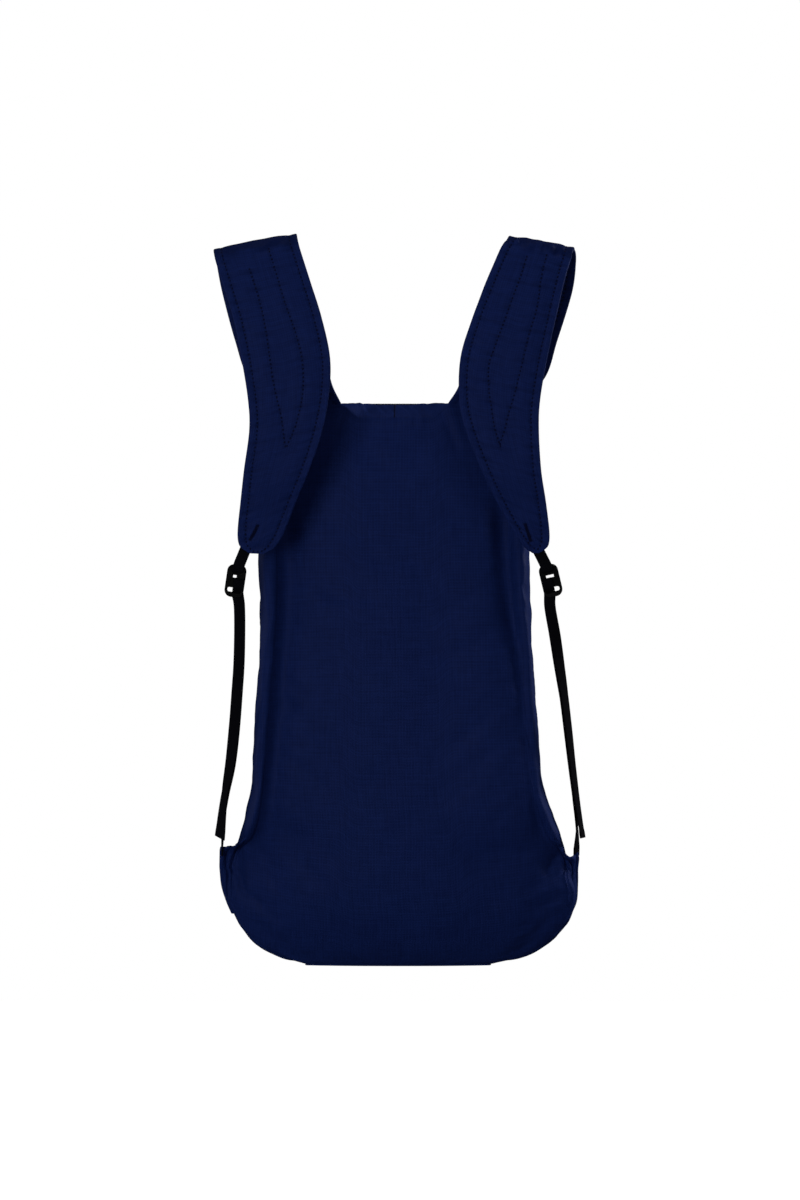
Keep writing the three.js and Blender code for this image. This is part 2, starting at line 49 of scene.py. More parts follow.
print("solids in the frame:", len(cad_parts))

# %% [markdown]
# ## Node helpers
#
# The materials, the room and the stitches are all node trees. Two helpers keep them short: one
# feeds the inputs of a node with links or plain values, and the other makes a new node and feeds
# it.

# %% Node helpers
def feed(tree, target, values):
    """Gives each input named in values a link or a plain value."""
    for label, value in values.items():
        if isinstance(value, bpy.types.NodeSocket):
            tree.links.new(value, target.inputs[label])
        else:
            target.inputs[label].default_value = value


def add_node(tree, kind, values=None, **options):
    """A new node with its options set and its inputs fed."""
    made = tree.nodes.new(kind)
    for label, value in options.items():
        setattr(made, label, value)
    feed(tree, made, values or {})
    return made


def new_group(name, kind, inputs, outputs):
    """A node group from {socket name: kind}, with its input sockets and its output node."""
    tree = bpy.data.node_groups.new(name, kind)
    for in_out, sockets in (("INPUT", inputs), ("OUTPUT", outputs)):
        for label, socket in sockets.items():
            tree.interface.new_socket(label, in_out=in_out, socket_type=f"NodeSocket{socket}")
    return tree, tree.nodes.new("NodeGroupInput").outputs, tree.nodes.new("NodeGroupOutput")


def math_node(tree, operation, *terms):
    return add_node(tree, "ShaderNodeMath", dict(enumerate(terms)), operation=operation).outputs[0]


def weighted(tree, *terms):
    """The sum of (value, weight) terms."""
    total = 0.0
    for value, weight in terms:
        total = math_node(tree, "MULTIPLY_ADD", value, weight, total)
    return total


def noise(tree, vector, scale, detail):
    values = {"Vector": vector, "Scale": scale, "Detail": detail}
    return add_node(tree, "ShaderNodeTexNoise", values).outputs["Fac"]


def wave(tree, run, pitch):
    """The sine of a length, one turn for each pitch."""
    turns = math_node(tree, "DIVIDE", run, pitch)
    return math_node(tree, "SINE", math_node(tree, "MULTIPLY", turns, 2 * math.pi))


def link_object(name, data):
    """A new object in the scene."""
    made = bpy.data.objects.new(name, data)
    bpy.context.scene.collection.objects.link(made)
    return made


def vertex_places(mesh):
    places = np.empty(len(mesh.vertices) * 3)
    mesh.vertices.foreach_get("co", places)
    return places.reshape(-1, 3)


print("node helpers ready")

# %% [markdown]
# ## Camera, floor and light
#
# The bag is seen straight from its wearer's side by a long lens, so the camera stands 3.2 m away
# and looks along +Y. A pale floor lies well below the hanging bag. The cloth is very dark, so the
# light comes in large soft panels: a key from the left, a weak fill from the right, one above, and
# two strips behind the bag that draw a light edge along the side gussets.

# %% Camera and floor
CAMERA_PLACE = (0.0042, -3.2, -0.2957)
VIEW_HEIGHT = 1.008
SENSOR = 36.0
FLOOR_Z = -0.95
FLOOR_HALF = 3.0
WHITE = (1, 1, 1, 1)

scene = bpy.context.scene
camera_data = bpy.data.cameras.new("camera")
camera_data.sensor_width = SENSOR
camera_data.lens = SENSOR * -CAMERA_PLACE[1] / VIEW_HEIGHT
camera = link_object("camera", camera_data)
camera.location = CAMERA_PLACE
camera.rotation_euler = (math.pi / 2, 0, 0)
scene.camera = camera
scene.view_settings.view_transform = "Standard"

floor_mesh = bpy.data.meshes.new("floor")
square = ((-1, -1), (1, -1), (1, 1), (-1, 1))
corners = [(x * FLOOR_HALF, y * FLOOR_HALF, FLOOR_Z) for x, y in square]
floor_mesh.from_pydata(corners, [], [(0, 1, 2, 3)])
floor = link_object("floor", floor_mesh)
floor.visible_diffuse = False
floor.visible_glossy = False
floor_paint = bpy.data.materials.new("pale_floor")
floor_paint.use_nodes = True
feed(floor_paint.node_tree, floor_paint.node_tree.nodes["Principled BSDF"], {
    "Base Color": (0.9, 0.9, 0.9, 1), "Roughness": 0.9,
    "Emission Color": WHITE, "Emission Strength": 1.0,
})
floor_mesh.materials.append(floor_paint)
print("lens:", round(camera_data.lens, 1), "mm")

# %% Soft studio light
BAG_MIDDLE = Vector((0.0, 0.07, -0.33))
LIGHTS = [
    # name, place, width, height, watts
    ("key", (-1.4, -2.7, -0.35), 1.2, 1.2, 70),
    ("fill", (1.4, -2.6, -0.6), 1.6, 1.6, 22),
    ("side_left", (-1.6, 0.5, 0.0), 0.4, 1.4, 12),
    ("side_right", (1.5, 0.5, 0.4), 0.5, 1.2, 52),
    ("top", (-0.1, -0.3, 1.8), 1.2, 0.8, 18),
]
AMBIENT = 0.2
AMBIENT_COLOUR = (0.92, 0.95, 1, 1)
GLOSS_DIM = 0.75

for name, place, width, height, watts in LIGHTS:
    lamp = bpy.data.lights.new(name, "AREA")
    lamp.shape = "RECTANGLE"
    lamp.size = width
    lamp.size_y = height
    lamp.energy = watts
    holder = link_object(name, lamp)
    holder.location = place
    holder.rotation_euler = (BAG_MIDDLE - Vector(place)).to_track_quat("-Z", "Y").to_euler()

scene.world = bpy.data.worlds.new("white_room")
scene.world.use_nodes = True
room = scene.world.node_tree
room.nodes.clear()
ray = add_node(room, "ShaderNodeLightPath").outputs
dim = math_node(room, "MULTIPLY_ADD", ray["Is Glossy Ray"], -GLOSS_DIM * AMBIENT, AMBIENT)
soft = add_node(room, "ShaderNodeBackground", {"Color": AMBIENT_COLOUR, "Strength": dim})
seen = add_node(room, "ShaderNodeBackground", {"Color": WHITE})
choice = add_node(room, "ShaderNodeMixShader", {
    0: ray["Is Camera Ray"], 1: soft.outputs[0], 2: seen.outputs[0],
})
add_node(room, "ShaderNodeOutputWorld", {"Surface": choice.outputs[0]})
print("lights:", len(LIGHTS))

# %% [markdown]
# ## Cloth and other finishes
#
# The bag is coated ripstop: a fine plain weave of uneven threads, with a thicker thread every few
# millimetres. One node group makes that weave for every cloth, from the sheet's own UV map in
# metres, so that the threads follow the cloth. An attribute that the straps have paints shade
# into their puckers and folds, darkening the cloth's colour there. Webbing has a coarser ribbed
# weave, and the plastic a faint moulded grain.

# %% The ripstop weave, shared by every cloth
THREAD_STRETCH = ((1.0, 0.1, 1.0), (0.1, 1.0, 1.0))
SLUB_SCALE = 420
SLUB_LEVEL = 0.36
MOTTLE_SCALE = 11
FUZZ_SCALE = 900
RIB_SHARP = 5.0


def build_ripstop_weave():
    tree, given, result = new_group(
        "ripstop_weave", "ShaderNodeTree",
        {"Cloth": "Vector", "Place": "Vector", "Thread": "Float", "Rip": "Float"},
        {"Height": "Float", "Shade": "Float", "Rough": "Float"},
    )
    split = add_node(tree, "ShaderNodeSeparateXYZ", {0: given["Cloth"]}).outputs
    warp, weft = (wave(tree, split[axis], given["Thread"]) for axis in "XY")
    checks = math_node(tree, "MULTIPLY_ADD", math_node(tree, "MULTIPLY", warp, weft), 0.5, 0.5)
    ribs = []
    for axis in "XY":
        crest = math_node(tree, "MAXIMUM", wave(tree, split[axis], given["Rip"]), 0.0)
        ribs.append(math_node(tree, "POWER", crest, RIB_SHARP))
    rib = math_node(tree, "MAXIMUM", *ribs)
    slubs = []
    for stretch in THREAD_STRETCH:
        values = {0: given["Cloth"], 1: stretch}
        thread = add_node(tree, "ShaderNodeVectorMath", values, operation="MULTIPLY")
        slubs.append(noise(tree, thread.outputs[0], SLUB_SCALE, 1))
    slub = math_node(tree, "MULTIPLY", math_node(tree, "ADD", *slubs), 0.5)
    uneven = math_node(tree, "SUBTRACT", slub, SLUB_LEVEL)
    mottle = noise(tree, given["Place"], MOTTLE_SCALE, 4)
    feed(tree, result, {
        "Height": weighted(tree, (checks, 0.45), (rib, 0.4), (slub, 0.3)),
        "Shade": weighted(tree, (checks, 0.25), (uneven, 1.1), (mottle, 0.3), (rib, 0.4)),
        "Rough": math_node(tree, "MULTIPLY_ADD", mottle, -0.16, 0.62),
    })
    return tree


RIPSTOP_WEAVE = build_ripstop_weave()
print("weave group:", RIPSTOP_WEAVE.name)

# %% The ribbed weave of the webbing and the zip's tape
def build_ribbed_weave():
    tree, given, result = new_group(
        "ribbed_weave", "ShaderNodeTree",
        {"Cloth": "Vector", "Rib": "Float"}, {"Height": "Float", "Shade": "Float"},
    )
    split = add_node(tree, "ShaderNodeSeparateXYZ", {0: given["Cloth"]}).outputs
    bend = math_node(tree, "PINGPONG", split["X"], given["Rib"])
    slant = math_node(tree, "ADD", split["Y"], bend)
    pitch = math_node(tree, "MULTIPLY", given["Rib"], 2.0)
    twill = math_node(tree, "ABSOLUTE", wave(tree, slant, pitch))
    height = weighted(tree, (twill, 1.0), (noise(tree, given["Cloth"], FUZZ_SCALE, 2), 0.4))
    feed(tree, result, {"Height": height, "Shade": math_node(tree, "MULTIPLY", height, 0.7)})
    return tree


RIBBED_WEAVE = build_ribbed_weave()
print("weave group:", RIBBED_WEAVE.name)

# %% Materials
# The attribute of painted shade: it darkens a cloth's colour in creases and grooves.
PAINTED_SHADE_ATTRIBUTE = "painted_shade"


def start_material(name):
    """A material, its tree and its texture coordinates."""
    made = bpy.data.materials.new(name)
    made.use_nodes = True
    return made, made.node_tree, made.node_tree.nodes.new("ShaderNodeTexCoord").outputs


def finish_material(tree, colours, share, height, relief, specular, roughness):
    """Two colours blended by a share, and a height as relief of a strength and metres."""
    colour = add_node(tree, "ShaderNodeMix", {
        "Factor": share, "A": (*colours[0], 1), "B": (*colours[1], 1),
    }, data_type="RGBA")
    bump = add_node(tree, "ShaderNodeBump", {
        "Strength": relief[0], "Distance": relief[1], "Height": height,
    })
    feed(tree, tree.nodes["Principled BSDF"], {
        "Base Color": colour.outputs["Result"], "Normal": bump.outputs["Normal"],
        "Specular IOR Level": specular, "Roughness": roughness,
    })


def ripstop(name, *colours, thread=0.0009, rip=0.0024):
    made, tree, places = start_material(name)
    weave = add_node(tree, "ShaderNodeGroup", {
        "Cloth": places["UV"], "Place": places["Object"], "Thread": thread, "Rip": rip,
    }, node_tree=RIPSTOP_WEAVE).outputs
    # Painted shade: the attribute darkens the colour where the strap's hollows would be in shade.
    painted_shade = add_node(tree, "ShaderNodeAttribute", attribute_name=PAINTED_SHADE_ATTRIBUTE).outputs["Fac"]
    shade = math_node(tree, "MULTIPLY", weave["Shade"], math_node(tree, "SUBTRACT", 1.0, painted_shade))
    finish_material(
        tree, colours, shade, weave["Height"],
        relief=(0.35, 0.0003), specular=0.012, roughness=weave["Rough"],
    )
    return made


def woven_tape(name, *colours, rib):
    made, tree, places = start_material(name)
    values = {"Cloth": places["UV"], "Rib": rib}
    weave = add_node(tree, "ShaderNodeGroup", values, node_tree=RIBBED_WEAVE).outputs
    finish_material(
        tree, colours, weave["Shade"], weave["Height"],
        relief=(0.5, 0.0004), specular=0.006, roughness=0.75,
    )
    return made


def moulded_plastic(name, *colours):
    made, tree, places = start_material(name)
    grain, wear = (noise(tree, places["Object"], scale, 3) for scale in (1400, 160))
    rough = math_node(tree, "MULTIPLY_ADD", wear, 0.3, 0.3)
    finish_material(
        tree, colours, wear, grain, relief=(0.2, 0.0001), specular=0.03, roughness=rough)
    return made


def sewing_thread(name, *colours):
    made, tree, places = start_material(name)
    fibre = noise(tree, places["Object"], 2500, 2)
    finish_material(tree, colours, fibre, fibre, relief=(0.3, 0.0001), specular=0.03, roughness=0.7)
    return made


NAVY_CLOTH = ripstop("navy_ripstop", (0.0015, 0.0038, 0.023), (0.0036, 0.0088, 0.0485))
STRAP_CLOTH = ripstop(
    "navy_strap_cloth", (0.0015, 0.0037, 0.0225), (0.0038, 0.0091, 0.0508),
    thread=0.0011, rip=0.002,
)
BLACK_WEBBING = woven_tape(
    "black_webbing", (0.0001, 0.0001, 0.0002), (0.0028, 0.0028, 0.0042), rib=0.0016)
ZIP_TAPE = woven_tape("zip_tape", (0.001, 0.0014, 0.005), (0.003, 0.004, 0.014), rib=0.0009)
BUCKLE_PLASTIC = moulded_plastic(
    "black_plastic", (0.0005, 0.0005, 0.0006), (0.0014, 0.0014, 0.0017))
NAVY_THREAD = sewing_thread("navy_thread", (0.0003, 0.0008, 0.0065), (0.0008, 0.0018, 0.014))
BLACK_THREAD = sewing_thread("black_thread", (0.0003, 0.0003, 0.0004), (0.001, 0.001, 0.0013))
print("materials:", len(bpy.data.materials))

# %% [markdown]
# ## The bag's form
#
# A sewn bag is easiest to describe by level sections from its rim to its base. A table holds a few
# half widths and depths for each section, and a smooth curve runs through every column. Round a
# section, q counts the seams: 0 is the middle of the back, 1 the back seam, 2 the widest line, 3
# the front seam and 4 the middle of the front, with the left side negative. All lengths here are
# in mm.

# %% Tables and curves
def table(names, rows):
    """Named columns of numbers, one row for each section."""
    return dict(zip(names.split(), np.array(rows, float).T))


def along(column, t):
    """A smooth curve through the values of a column, at stations t = 0, 1, 2 and between."""
    column = np.asarray(column, float)
    t = np.asarray(t, float)
    i = np.clip(np.floor(t).astype(int), 0, len(column) - 2)
    ends = np.concatenate([2 * column[:1] - column[1:2], column, 2 * column[-1:] - column[-2:-1]])
    a, b, c, d = (ends[i + k] for k in range(4))
    f = (t - i).reshape(t.shape + (1,) * (column.ndim - 1))
    return b + 0.5 * f * (c - a + f * (2 * a - 5 * b + 4 * c - d + f * (3 * (b - c) + d - a)))


def smooth(x, low, high):
    s = np.clip((x - low) / (high - low), 0, 1)
    return s * s * (3 - 2 * s)


def plateau(x, start, full, until, gone):
    """A rise from 0 to 1 and a fall back to 0."""
    return smooth(x, start, full) * (1 - smooth(x, until, gone))


def mix(a, b, share):
    return a + (b - a) * share


def unit(vectors):
    return vectors / np.linalg.norm(vectors, axis=-1, keepdims=True)


def run_along(line):
    """The length from the start of a line to each of its points."""
    steps = np.linalg.norm(np.diff(line, axis=0), axis=-1)
    return np.concatenate([[0], steps.cumsum()])


SECTIONS = table("z drop shift back wide front y_back y_seam y_wide y_fold y_front", [
    [-130.5, 44, -0.5, 103, 108, 86, 36, 42, 66, 106, 118],
    [-152, 42, -0.5, 105, 113, 92, 30, 40, 68, 120, 136],
    [-200, 36, -1.0, 101, 116, 96, 25, 37, 71, 137, 157],
    [-257, 26, -0.8, 99.5, 116.5, 98, 21, 35, 73, 146, 170],
    [-296, 18, 0.3, 100.5, 115.6, 98, 19, 34, 74, 149, 176],
    [-344, 12, 0.9, 104, 117.6, 99, 18, 33, 75, 151, 179],
    [-405, 6, 1.0, 109, 122, 101, 18, 34, 75, 151, 179],
    [-452, 2, 1.9, 114, 125.2, 104, 19, 37, 75, 149, 176],
    [-478, 0, 3.8, 119, 132.4, 107, 20, 43, 75, 147, 174],
    [-498, 0, 4.5, 126, 138.5, 109, 22, 54, 75, 144, 171],
    [-512, 0, 4.2, 138, 142, 111, 24, 66, 76, 141, 168],
    [-532, 0, 4.4, 144, 147, 113, 27, 69, 77, 136, 163],
    [-550, 0, 5.2, 147, 150, 115, 31, 71, 78, 130, 157],
    [-566, 0, 6.4, 141.5, 145.4, 113, 36, 72, 79, 124, 150],
    [-580, 0, 6.1, 133, 136.8, 108, 43, 73, 80, 117, 141],
    [-592, 0, 5.6, 121.5, 125.4, 100, 51, 74, 81, 110, 130],
    [-602, 0, 5.9, 104.5, 107.6, 86, 60, 75, 81, 102, 114],
    [-609, 0, 2.6, 78, 80, 66, 66, 73, 81, 93, 97],
])
LAST = len(SECTIONS["z"]) - 1
PANEL_CURVE = 2.4
RIM_SAG = 10.5
SAG_FROM = 30
SAG_TO = 46
SAG_ROWS = 1.3
print("sections:", LAST + 1)

# %% The surface of the bag
def bag_point(q, t):
    """A point of the bag's outer surface, round the section by q and down the stations by t."""
    q, t = np.broadcast_arrays(np.asarray(q, float), np.asarray(t, float))
    q = (q + 4) % 8 - 4
    k = np.abs(q)
    s = {name: along(column, t) for name, column in SECTIONS.items()}
    side_turn = (k - 1) * np.pi / 2
    front_turn = (k - 2) * np.pi / 2
    parts = [k <= 1, k <= 2, k <= 3]
    x = np.select(parts, [
        s["back"] * k,
        mix(s["back"], s["wide"], np.sin(side_turn)),
        mix(s["front"], s["wide"], np.cos(front_turn)),
    ], s["front"] * (4 - k))
    y = np.select(parts, [
        mix(s["y_back"], s["y_seam"], k ** PANEL_CURVE),
        mix(s["y_wide"], s["y_seam"], np.cos(side_turn)),
        mix(s["y_wide"], s["y_fold"], np.sin(front_turn)),
    ], mix(s["y_front"], s["y_fold"], np.clip(4 - k, 0, 1) ** PANEL_CURVE))
    x = x * np.sign(q) + s["shift"]
    z = s["z"] - s["drop"] * smooth(y, s["y_back"], s["y_front"])
    sag = RIM_SAG * (1 - smooth(np.abs(x), SAG_FROM, SAG_TO)) * (1 - smooth(t, 0, SAG_ROWS))
    return np.stack([x, y, z - np.where(k < 2, sag, 0)], -1)


def surface_normal(point, u, v, du=0.03, dv=0.02):
    """The direction square to a surface of two parameters."""
    across = point(u + du, v) - point(u - du, v)
    down = point(u, v + dv) - point(u, v - dv)
    return unit(np.cross(down, across))


def even_stations(point, u, last, count):
    """Stations from 0 to last that are evenly spaced along the surface."""
    fine = np.linspace(0, last, 1200)
    run = run_along(point(u, fine))
    return np.interp(np.linspace(0, run[-1], count), run, fine)


print("height of the bag:", round(float(bag_point(0, 0)[2] - bag_point(0, LAST)[2])), "mm")

# %% [markdown]
# ## The top of the bag
#
# Above the rim, two crowned panels run up to a long zip with round ends. From the wearer's side
# only a narrow band of the back one shows, between the sagging edge of the back panel and the
# crest.

# %% The zip's slot and the crowned top
ZIP_Y = 66
ZIP_HALF = 74
ZIP_RADIUS = 4.3
ZIP_TURN = (1.6, 2.4)
CREST_Z = -127.8
CROWN_BACK = 1.2
CROWN_FRONT = 9
RIM_STEP = 0.06


def zip_point(q, radius):
    """A point of the slot's outline that faces the rim's point at q."""
    q = (np.asarray(q, float) + 4) % 8 - 4
    k = np.abs(q)
    start, end = ZIP_TURN
    turn = (k - start) / (end - start) * np.pi
    parts = [k <= start, k <= end]
    x = np.select(
        parts, [ZIP_HALF * k / start, ZIP_HALF + radius * np.sin(turn)], ZIP_HALF * (4 - k) / start)
    y = np.select(parts, [ZIP_Y - radius + 0 * k, ZIP_Y - radius * np.cos(turn)], ZIP_Y + radius)
    return np.stack([x * np.sign(q), y, CREST_Z + 0 * k], -1)


def top_point(q, w):
    """A point of the top, from the rim at w = 0 to the zip's slot at w = 1."""
    q, w = np.broadcast_arrays(np.asarray(q, float), np.asarray(w, float))
    k = np.abs((q + 4) % 8 - 4)
    point = mix(bag_point(q, 0 * q), zip_point(q, ZIP_RADIUS), w[..., None])
    point[..., 2] += mix(CROWN_BACK, CROWN_FRONT, smooth(k, 1, 4)) * np.sin(np.pi * w)
    return point


def rim_normal(q):
    """The shared direction of the walls and the top along the rim."""
    near = RIM_STEP + 0 * q
    return unit(surface_normal(bag_point, q, near) - surface_normal(top_point, q, near))


print("rim to crest:", round(float(CREST_Z - bag_point(0, 0)[2]), 1), "mm")

# %% [markdown]
# ## Slack from a short cloth simulation
#
# Thin cloth between sewn edges is never quite taut. The side walls are simulated as one loop of
# cloth that is cut a little larger than its frame of seams, held at the seams and blown up gently.
# The cloth buckles into soft waves, and how far each point moved is kept as a field that each of
# the four walls reads. A cap keeps the bag's outline.

# %% Soft random relief
CRUMPLE_WAVES = 8
CRUMPLE_SPREAD = (0.7, 1.5)


def ripple(run, seed, sizes):
    """A fixed random wave along a run in mm, between about -1 and 1."""
    phases = np.random.default_rng(seed).uniform(0, 2 * np.pi, len(sizes))
    waves = [np.sin(2 * np.pi * run / size + phase) for size, phase in zip(sizes, phases)]
    return sum(waves) / len(waves)


def crumple(points, seed, length):
    """Soft random relief over points, of about one wavelength in all directions."""
    random = np.random.default_rng(seed)
    directions = unit(random.normal(size=(CRUMPLE_WAVES, 3)))
    sizes = length * random.uniform(*CRUMPLE_SPREAD, CRUMPLE_WAVES)
    phases = random.uniform(0, 2 * np.pi, CRUMPLE_WAVES)
    turns = points @ (directions / sizes[:, None] * 2 * np.pi).T + phases
    return np.sin(turns).sum(-1) / math.sqrt(CRUMPLE_WAVES)


print("waves in a crumple:", CRUMPLE_WAVES)

# %% Simulate the slack
SLACK_AROUND = 128
SLACK_ROWS = 84
SLACK_STEPS = 22
SLACK_CAP = 5.0
SLACK_SHARE = 0.6
SLACK_GRAVITY = 0.15
SLACK_CLOTH = {
    "quality": 6, "mass": 0.15, "tension_stiffness": 12, "compression_stiffness": 12,
    "shear_stiffness": 4, "bending_stiffness": 0.2, "shrink_min": -0.008,
    "use_pressure": True, "uniform_pressure_force": 1.6, "vertex_group_mass": "seams",
}
HELD_STATIONS = (-3, -2, -1, 1, 2, 3)


def slack_field():
    """How far the slack cloth moves from the plain form, in mm, on a grid of stations."""
    qs = np.linspace(-4, 4, SLACK_AROUND, endpoint=False)
    ts = even_stations(bag_point, 0.5, LAST, SLACK_ROWS)
    rest = bag_point(qs[None], ts[:, None])
    index = np.arange(rest.shape[0] * rest.shape[1]).reshape(rest.shape[:2])
    after = np.roll(index, -1, axis=1)
    faces = np.stack([index[:-1], index[1:], after[1:], after[:-1]], -1).reshape(-1, 4)
    mesh = bpy.data.meshes.new("slack")
    mesh.from_pydata((rest.reshape(-1, 3) * MM).tolist(), [], faces.tolist())
    cloth_object = link_object("slack", mesh)
    seams = cloth_object.vertex_groups.new(name="seams")
    columns = [int(np.abs(qs - q).argmin()) for q in HELD_STATIONS]
    held = np.concatenate([index[0], index[-1], index[:, columns].ravel()])
    seams.add(held.tolist(), 1.0, "REPLACE")
    cloth = cloth_object.modifiers.new("cloth", "CLOTH").settings
    for setting, value in SLACK_CLOTH.items():
        setattr(cloth, setting, value)
    cloth.effector_weights.gravity = SLACK_GRAVITY
    for step in range(1, SLACK_STEPS + 1):
        scene.frame_set(step)
    shaped = cloth_object.evaluated_get(bpy.context.evaluated_depsgraph_get()).to_mesh()
    moved = vertex_places(shaped).reshape(rest.shape) / MM - rest
    far = np.linalg.norm(moved, axis=-1, keepdims=True)
    moved *= SLACK_SHARE * SLACK_CAP * np.tanh(far / SLACK_CAP) / np.maximum(far, 1e-9)
    scene.frame_set(1)
    bpy.data.objects.remove(cloth_object)
    bpy.data.meshes.remove(mesh)
    return ts, moved


SLACK_TS, SLACK = slack_field()


def slack(qs, ts):
    """The slack at every pair of stations, rows by ts and columns by qs."""
    rows = along(SLACK, np.interp(ts, SLACK_TS, np.arange(SLACK_ROWS)))
    ring = np.concatenate([rows[:, -2:], rows, rows[:, :3]], axis=1).swapaxes(0, 1)
    return along(ring, (np.asarray(qs) + 4) % 8 / 8 * SLACK_AROUND + 2).swapaxes(0, 1)


print("slack, mm:", np.abs(SLACK).max().round(2), "largest")

# %% [markdown]
# ## Cloth panels
#
# Every panel is a closed sheet: an outer grid of points, an inner one a wall's thickness below,
# and a rim between them. Its UV map is the length along the cloth in metres. At a seam the cloth
# dips into a narrow valley and puckers a little, the same way on both sides of the seam. Each
# panel but the base also states its flat cut, which is as wide and as long as its plain grid.

# %% Sheets from grids of points
CLOTH = 1.2
SHARP = math.radians(55)
LEAST_SHARE = 0.3


def lengths(grid):
    """Lengths across and down a grid, from its middle column and its first row."""
    across = np.linalg.norm(np.diff(grid, axis=1), axis=-1).cumsum(axis=1)
    across = np.pad(across, ((0, 0), (1, 0)))
    down = np.pad(np.linalg.norm(np.diff(grid, axis=0), axis=-1).cumsum(axis=0), ((1, 0), (0, 0)))
    return across - across[:, [across.shape[1] // 2]], down


def smooth_mesh(name, places, faces, uv):
    """A mesh from places and a UV map in mm, smooth apart from its sharp edges."""
    mesh = bpy.data.meshes.new(name)
    mesh.from_pydata((places * MM).tolist(), [], faces)
    corners = np.empty(len(mesh.loops), np.int32)
    mesh.loops.foreach_get("vertex_index", corners)
    mesh.uv_layers.new(name="cloth").data.foreach_set("uv", (uv * MM)[corners].ravel())
    mesh.shade_smooth()
    mesh.set_sharp_from_angle(angle=SHARP)
    return mesh


def sheet_mesh(name, outer, inner):
    """A closed sheet between two grids of points."""
    rows, columns = outer.shape[:2]
    count = rows * columns
    index = np.arange(count).reshape(rows, columns)
    quads = np.stack([index[:-1, :-1], index[1:, :-1], index[1:, 1:], index[:-1, 1:]], -1)
    quads = quads.reshape(-1, 4)
    border = np.concatenate([index[0, :-1], index[:-1, -1], index[-1, :0:-1], index[:0:-1, 0]])
    after = np.roll(border, -1)
    rim = np.stack([border, after, after + count, border + count], -1)
    faces = np.concatenate([quads, quads[:, ::-1] + count, rim])
    corner = outer.reshape(-1, 3)[quads]
    facing = np.cross(corner[:, 1] - corner[:, 0], corner[:, 2] - corner[:, 0])
    if (facing * (outer - inner).reshape(-1, 3)[quads[:, 0]]).sum() < 0:
        faces = faces[:, ::-1]
    places = np.concatenate([outer.reshape(-1, 3), inner.reshape(-1, 3)])
    uv = np.tile(np.stack(lengths(outer), -1).reshape(-1, 2), (2, 1))
    return smooth_mesh(name, places, faces.tolist(), uv)


def add_piece(name, mesh, material, slot, *nodes):
    """Shows a mesh as a piece of the bag, in place of the frame's nodes."""
    mesh.materials.append(material)
    piece = link_object(name, mesh)
    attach(piece, "root")
    if nodes:
        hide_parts(*nodes)
    return piece


def declare_sheet(piece, plain, hem=0.0):
    """States a panel's flat cut from its plain grid, with a hem along one side and one end."""
    across, down = lengths(plain)
    wide = float(np.ptp(across, axis=1).max()) + hem
    long = float(down.max()) + hem
    cells = np.cross(np.diff(plain, axis=0)[:, :-1], np.diff(plain, axis=1)[:-1])
    area = np.linalg.norm(cells, axis=-1).sum() + hem * (wide + long)
    area = float(np.clip(area, LEAST_SHARE * wide * long, wide * long))
    faces = len(piece.data.polygons)
    print(piece.name, "cut:", round(wide), "by", round(long), "mm,", faces, "faces")


print("cloth wall:", CLOTH, "mm")

# %% Seams, puckers and folds
SEAM_DEPTH = 0.7
SEAM_HALF = 1.7
PUCKER = 0.14
HEM = 0.6
HEM_REACH = 3
PUCKER_REACH = 9
PUCKER_LENGTHS = (6.5, 9, 14)
BACK_SEAM_SHARE = 0.35
WING_LEVELS = (490, 502, 548, 560)
FOLD_LOW = 0.35
SEEDS = {
    "back_left": 11, "back_right": 12, "front_left": 13, "front_right": 14, "rim": 15, "base": 16,
    "zip": 17, "wall": 5, "gather": 21, "strap_hem": 15, "strap_v": 31, "strap_pad": 41,
    "strap_fold": 43, "strap_band": 47, "strap_cross": 57, "wing": 51,
}


def sewn(grid, left, right, top, bottom, hem=False):
    """The relief of a panel's four seams, each named by the seam that it shares."""
    across, down = lengths(grid)
    across = across - across[:, :1]
    upright = grid[..., 2]
    level = grid[..., 0] + grid[..., 1]
    sides = [
        (left, across, upright), (right, across[:, -1:] - across, upright),
        (top, down, level), (bottom, down[-1:] - down, level),
    ]
    valley = np.zeros(grid.shape[:2])
    relief = np.zeros(grid.shape[:2])
    for name, away, run in sides:
        dip = np.exp(-(away / SEAM_HALF) ** 2)
        if name.startswith("back"):
            dip *= BACK_SEAM_SHARE * (1 - plateau(-upright, *WING_LEVELS))
        if name == "rim" and hem:
            relief += HEM * np.exp(-(away / HEM_REACH) ** 2)
        else:
            valley = np.maximum(valley, dip)
        relief += PUCKER * np.exp(-away / PUCKER_REACH) * ripple(run, SEEDS[name], PUCKER_LENGTHS)
    return relief - SEAM_DEPTH * valley


def folds_relief(folds, x, z):
    """The depth of a list of folds at points seen from the wearer's side."""
    depth = np.zeros(x.shape)
    for x0, z0, x1, z1, half, deep in folds:
        run = (x1 - x0) ** 2 + (z1 - z0) ** 2
        share = np.clip(((x - x0) * (x1 - x0) + (z - z0) * (z1 - z0)) / run, 0, 1)
        away = np.hypot(x - x0 - share * (x1 - x0), z - z0 - share * (z1 - z0)) / half
        depth += deep * np.exp(-away ** 2) * mix(FOLD_LOW, 1, np.sin(np.pi * share) ** 0.5)
    return depth


print("seam valley:", SEAM_DEPTH, "mm deep")

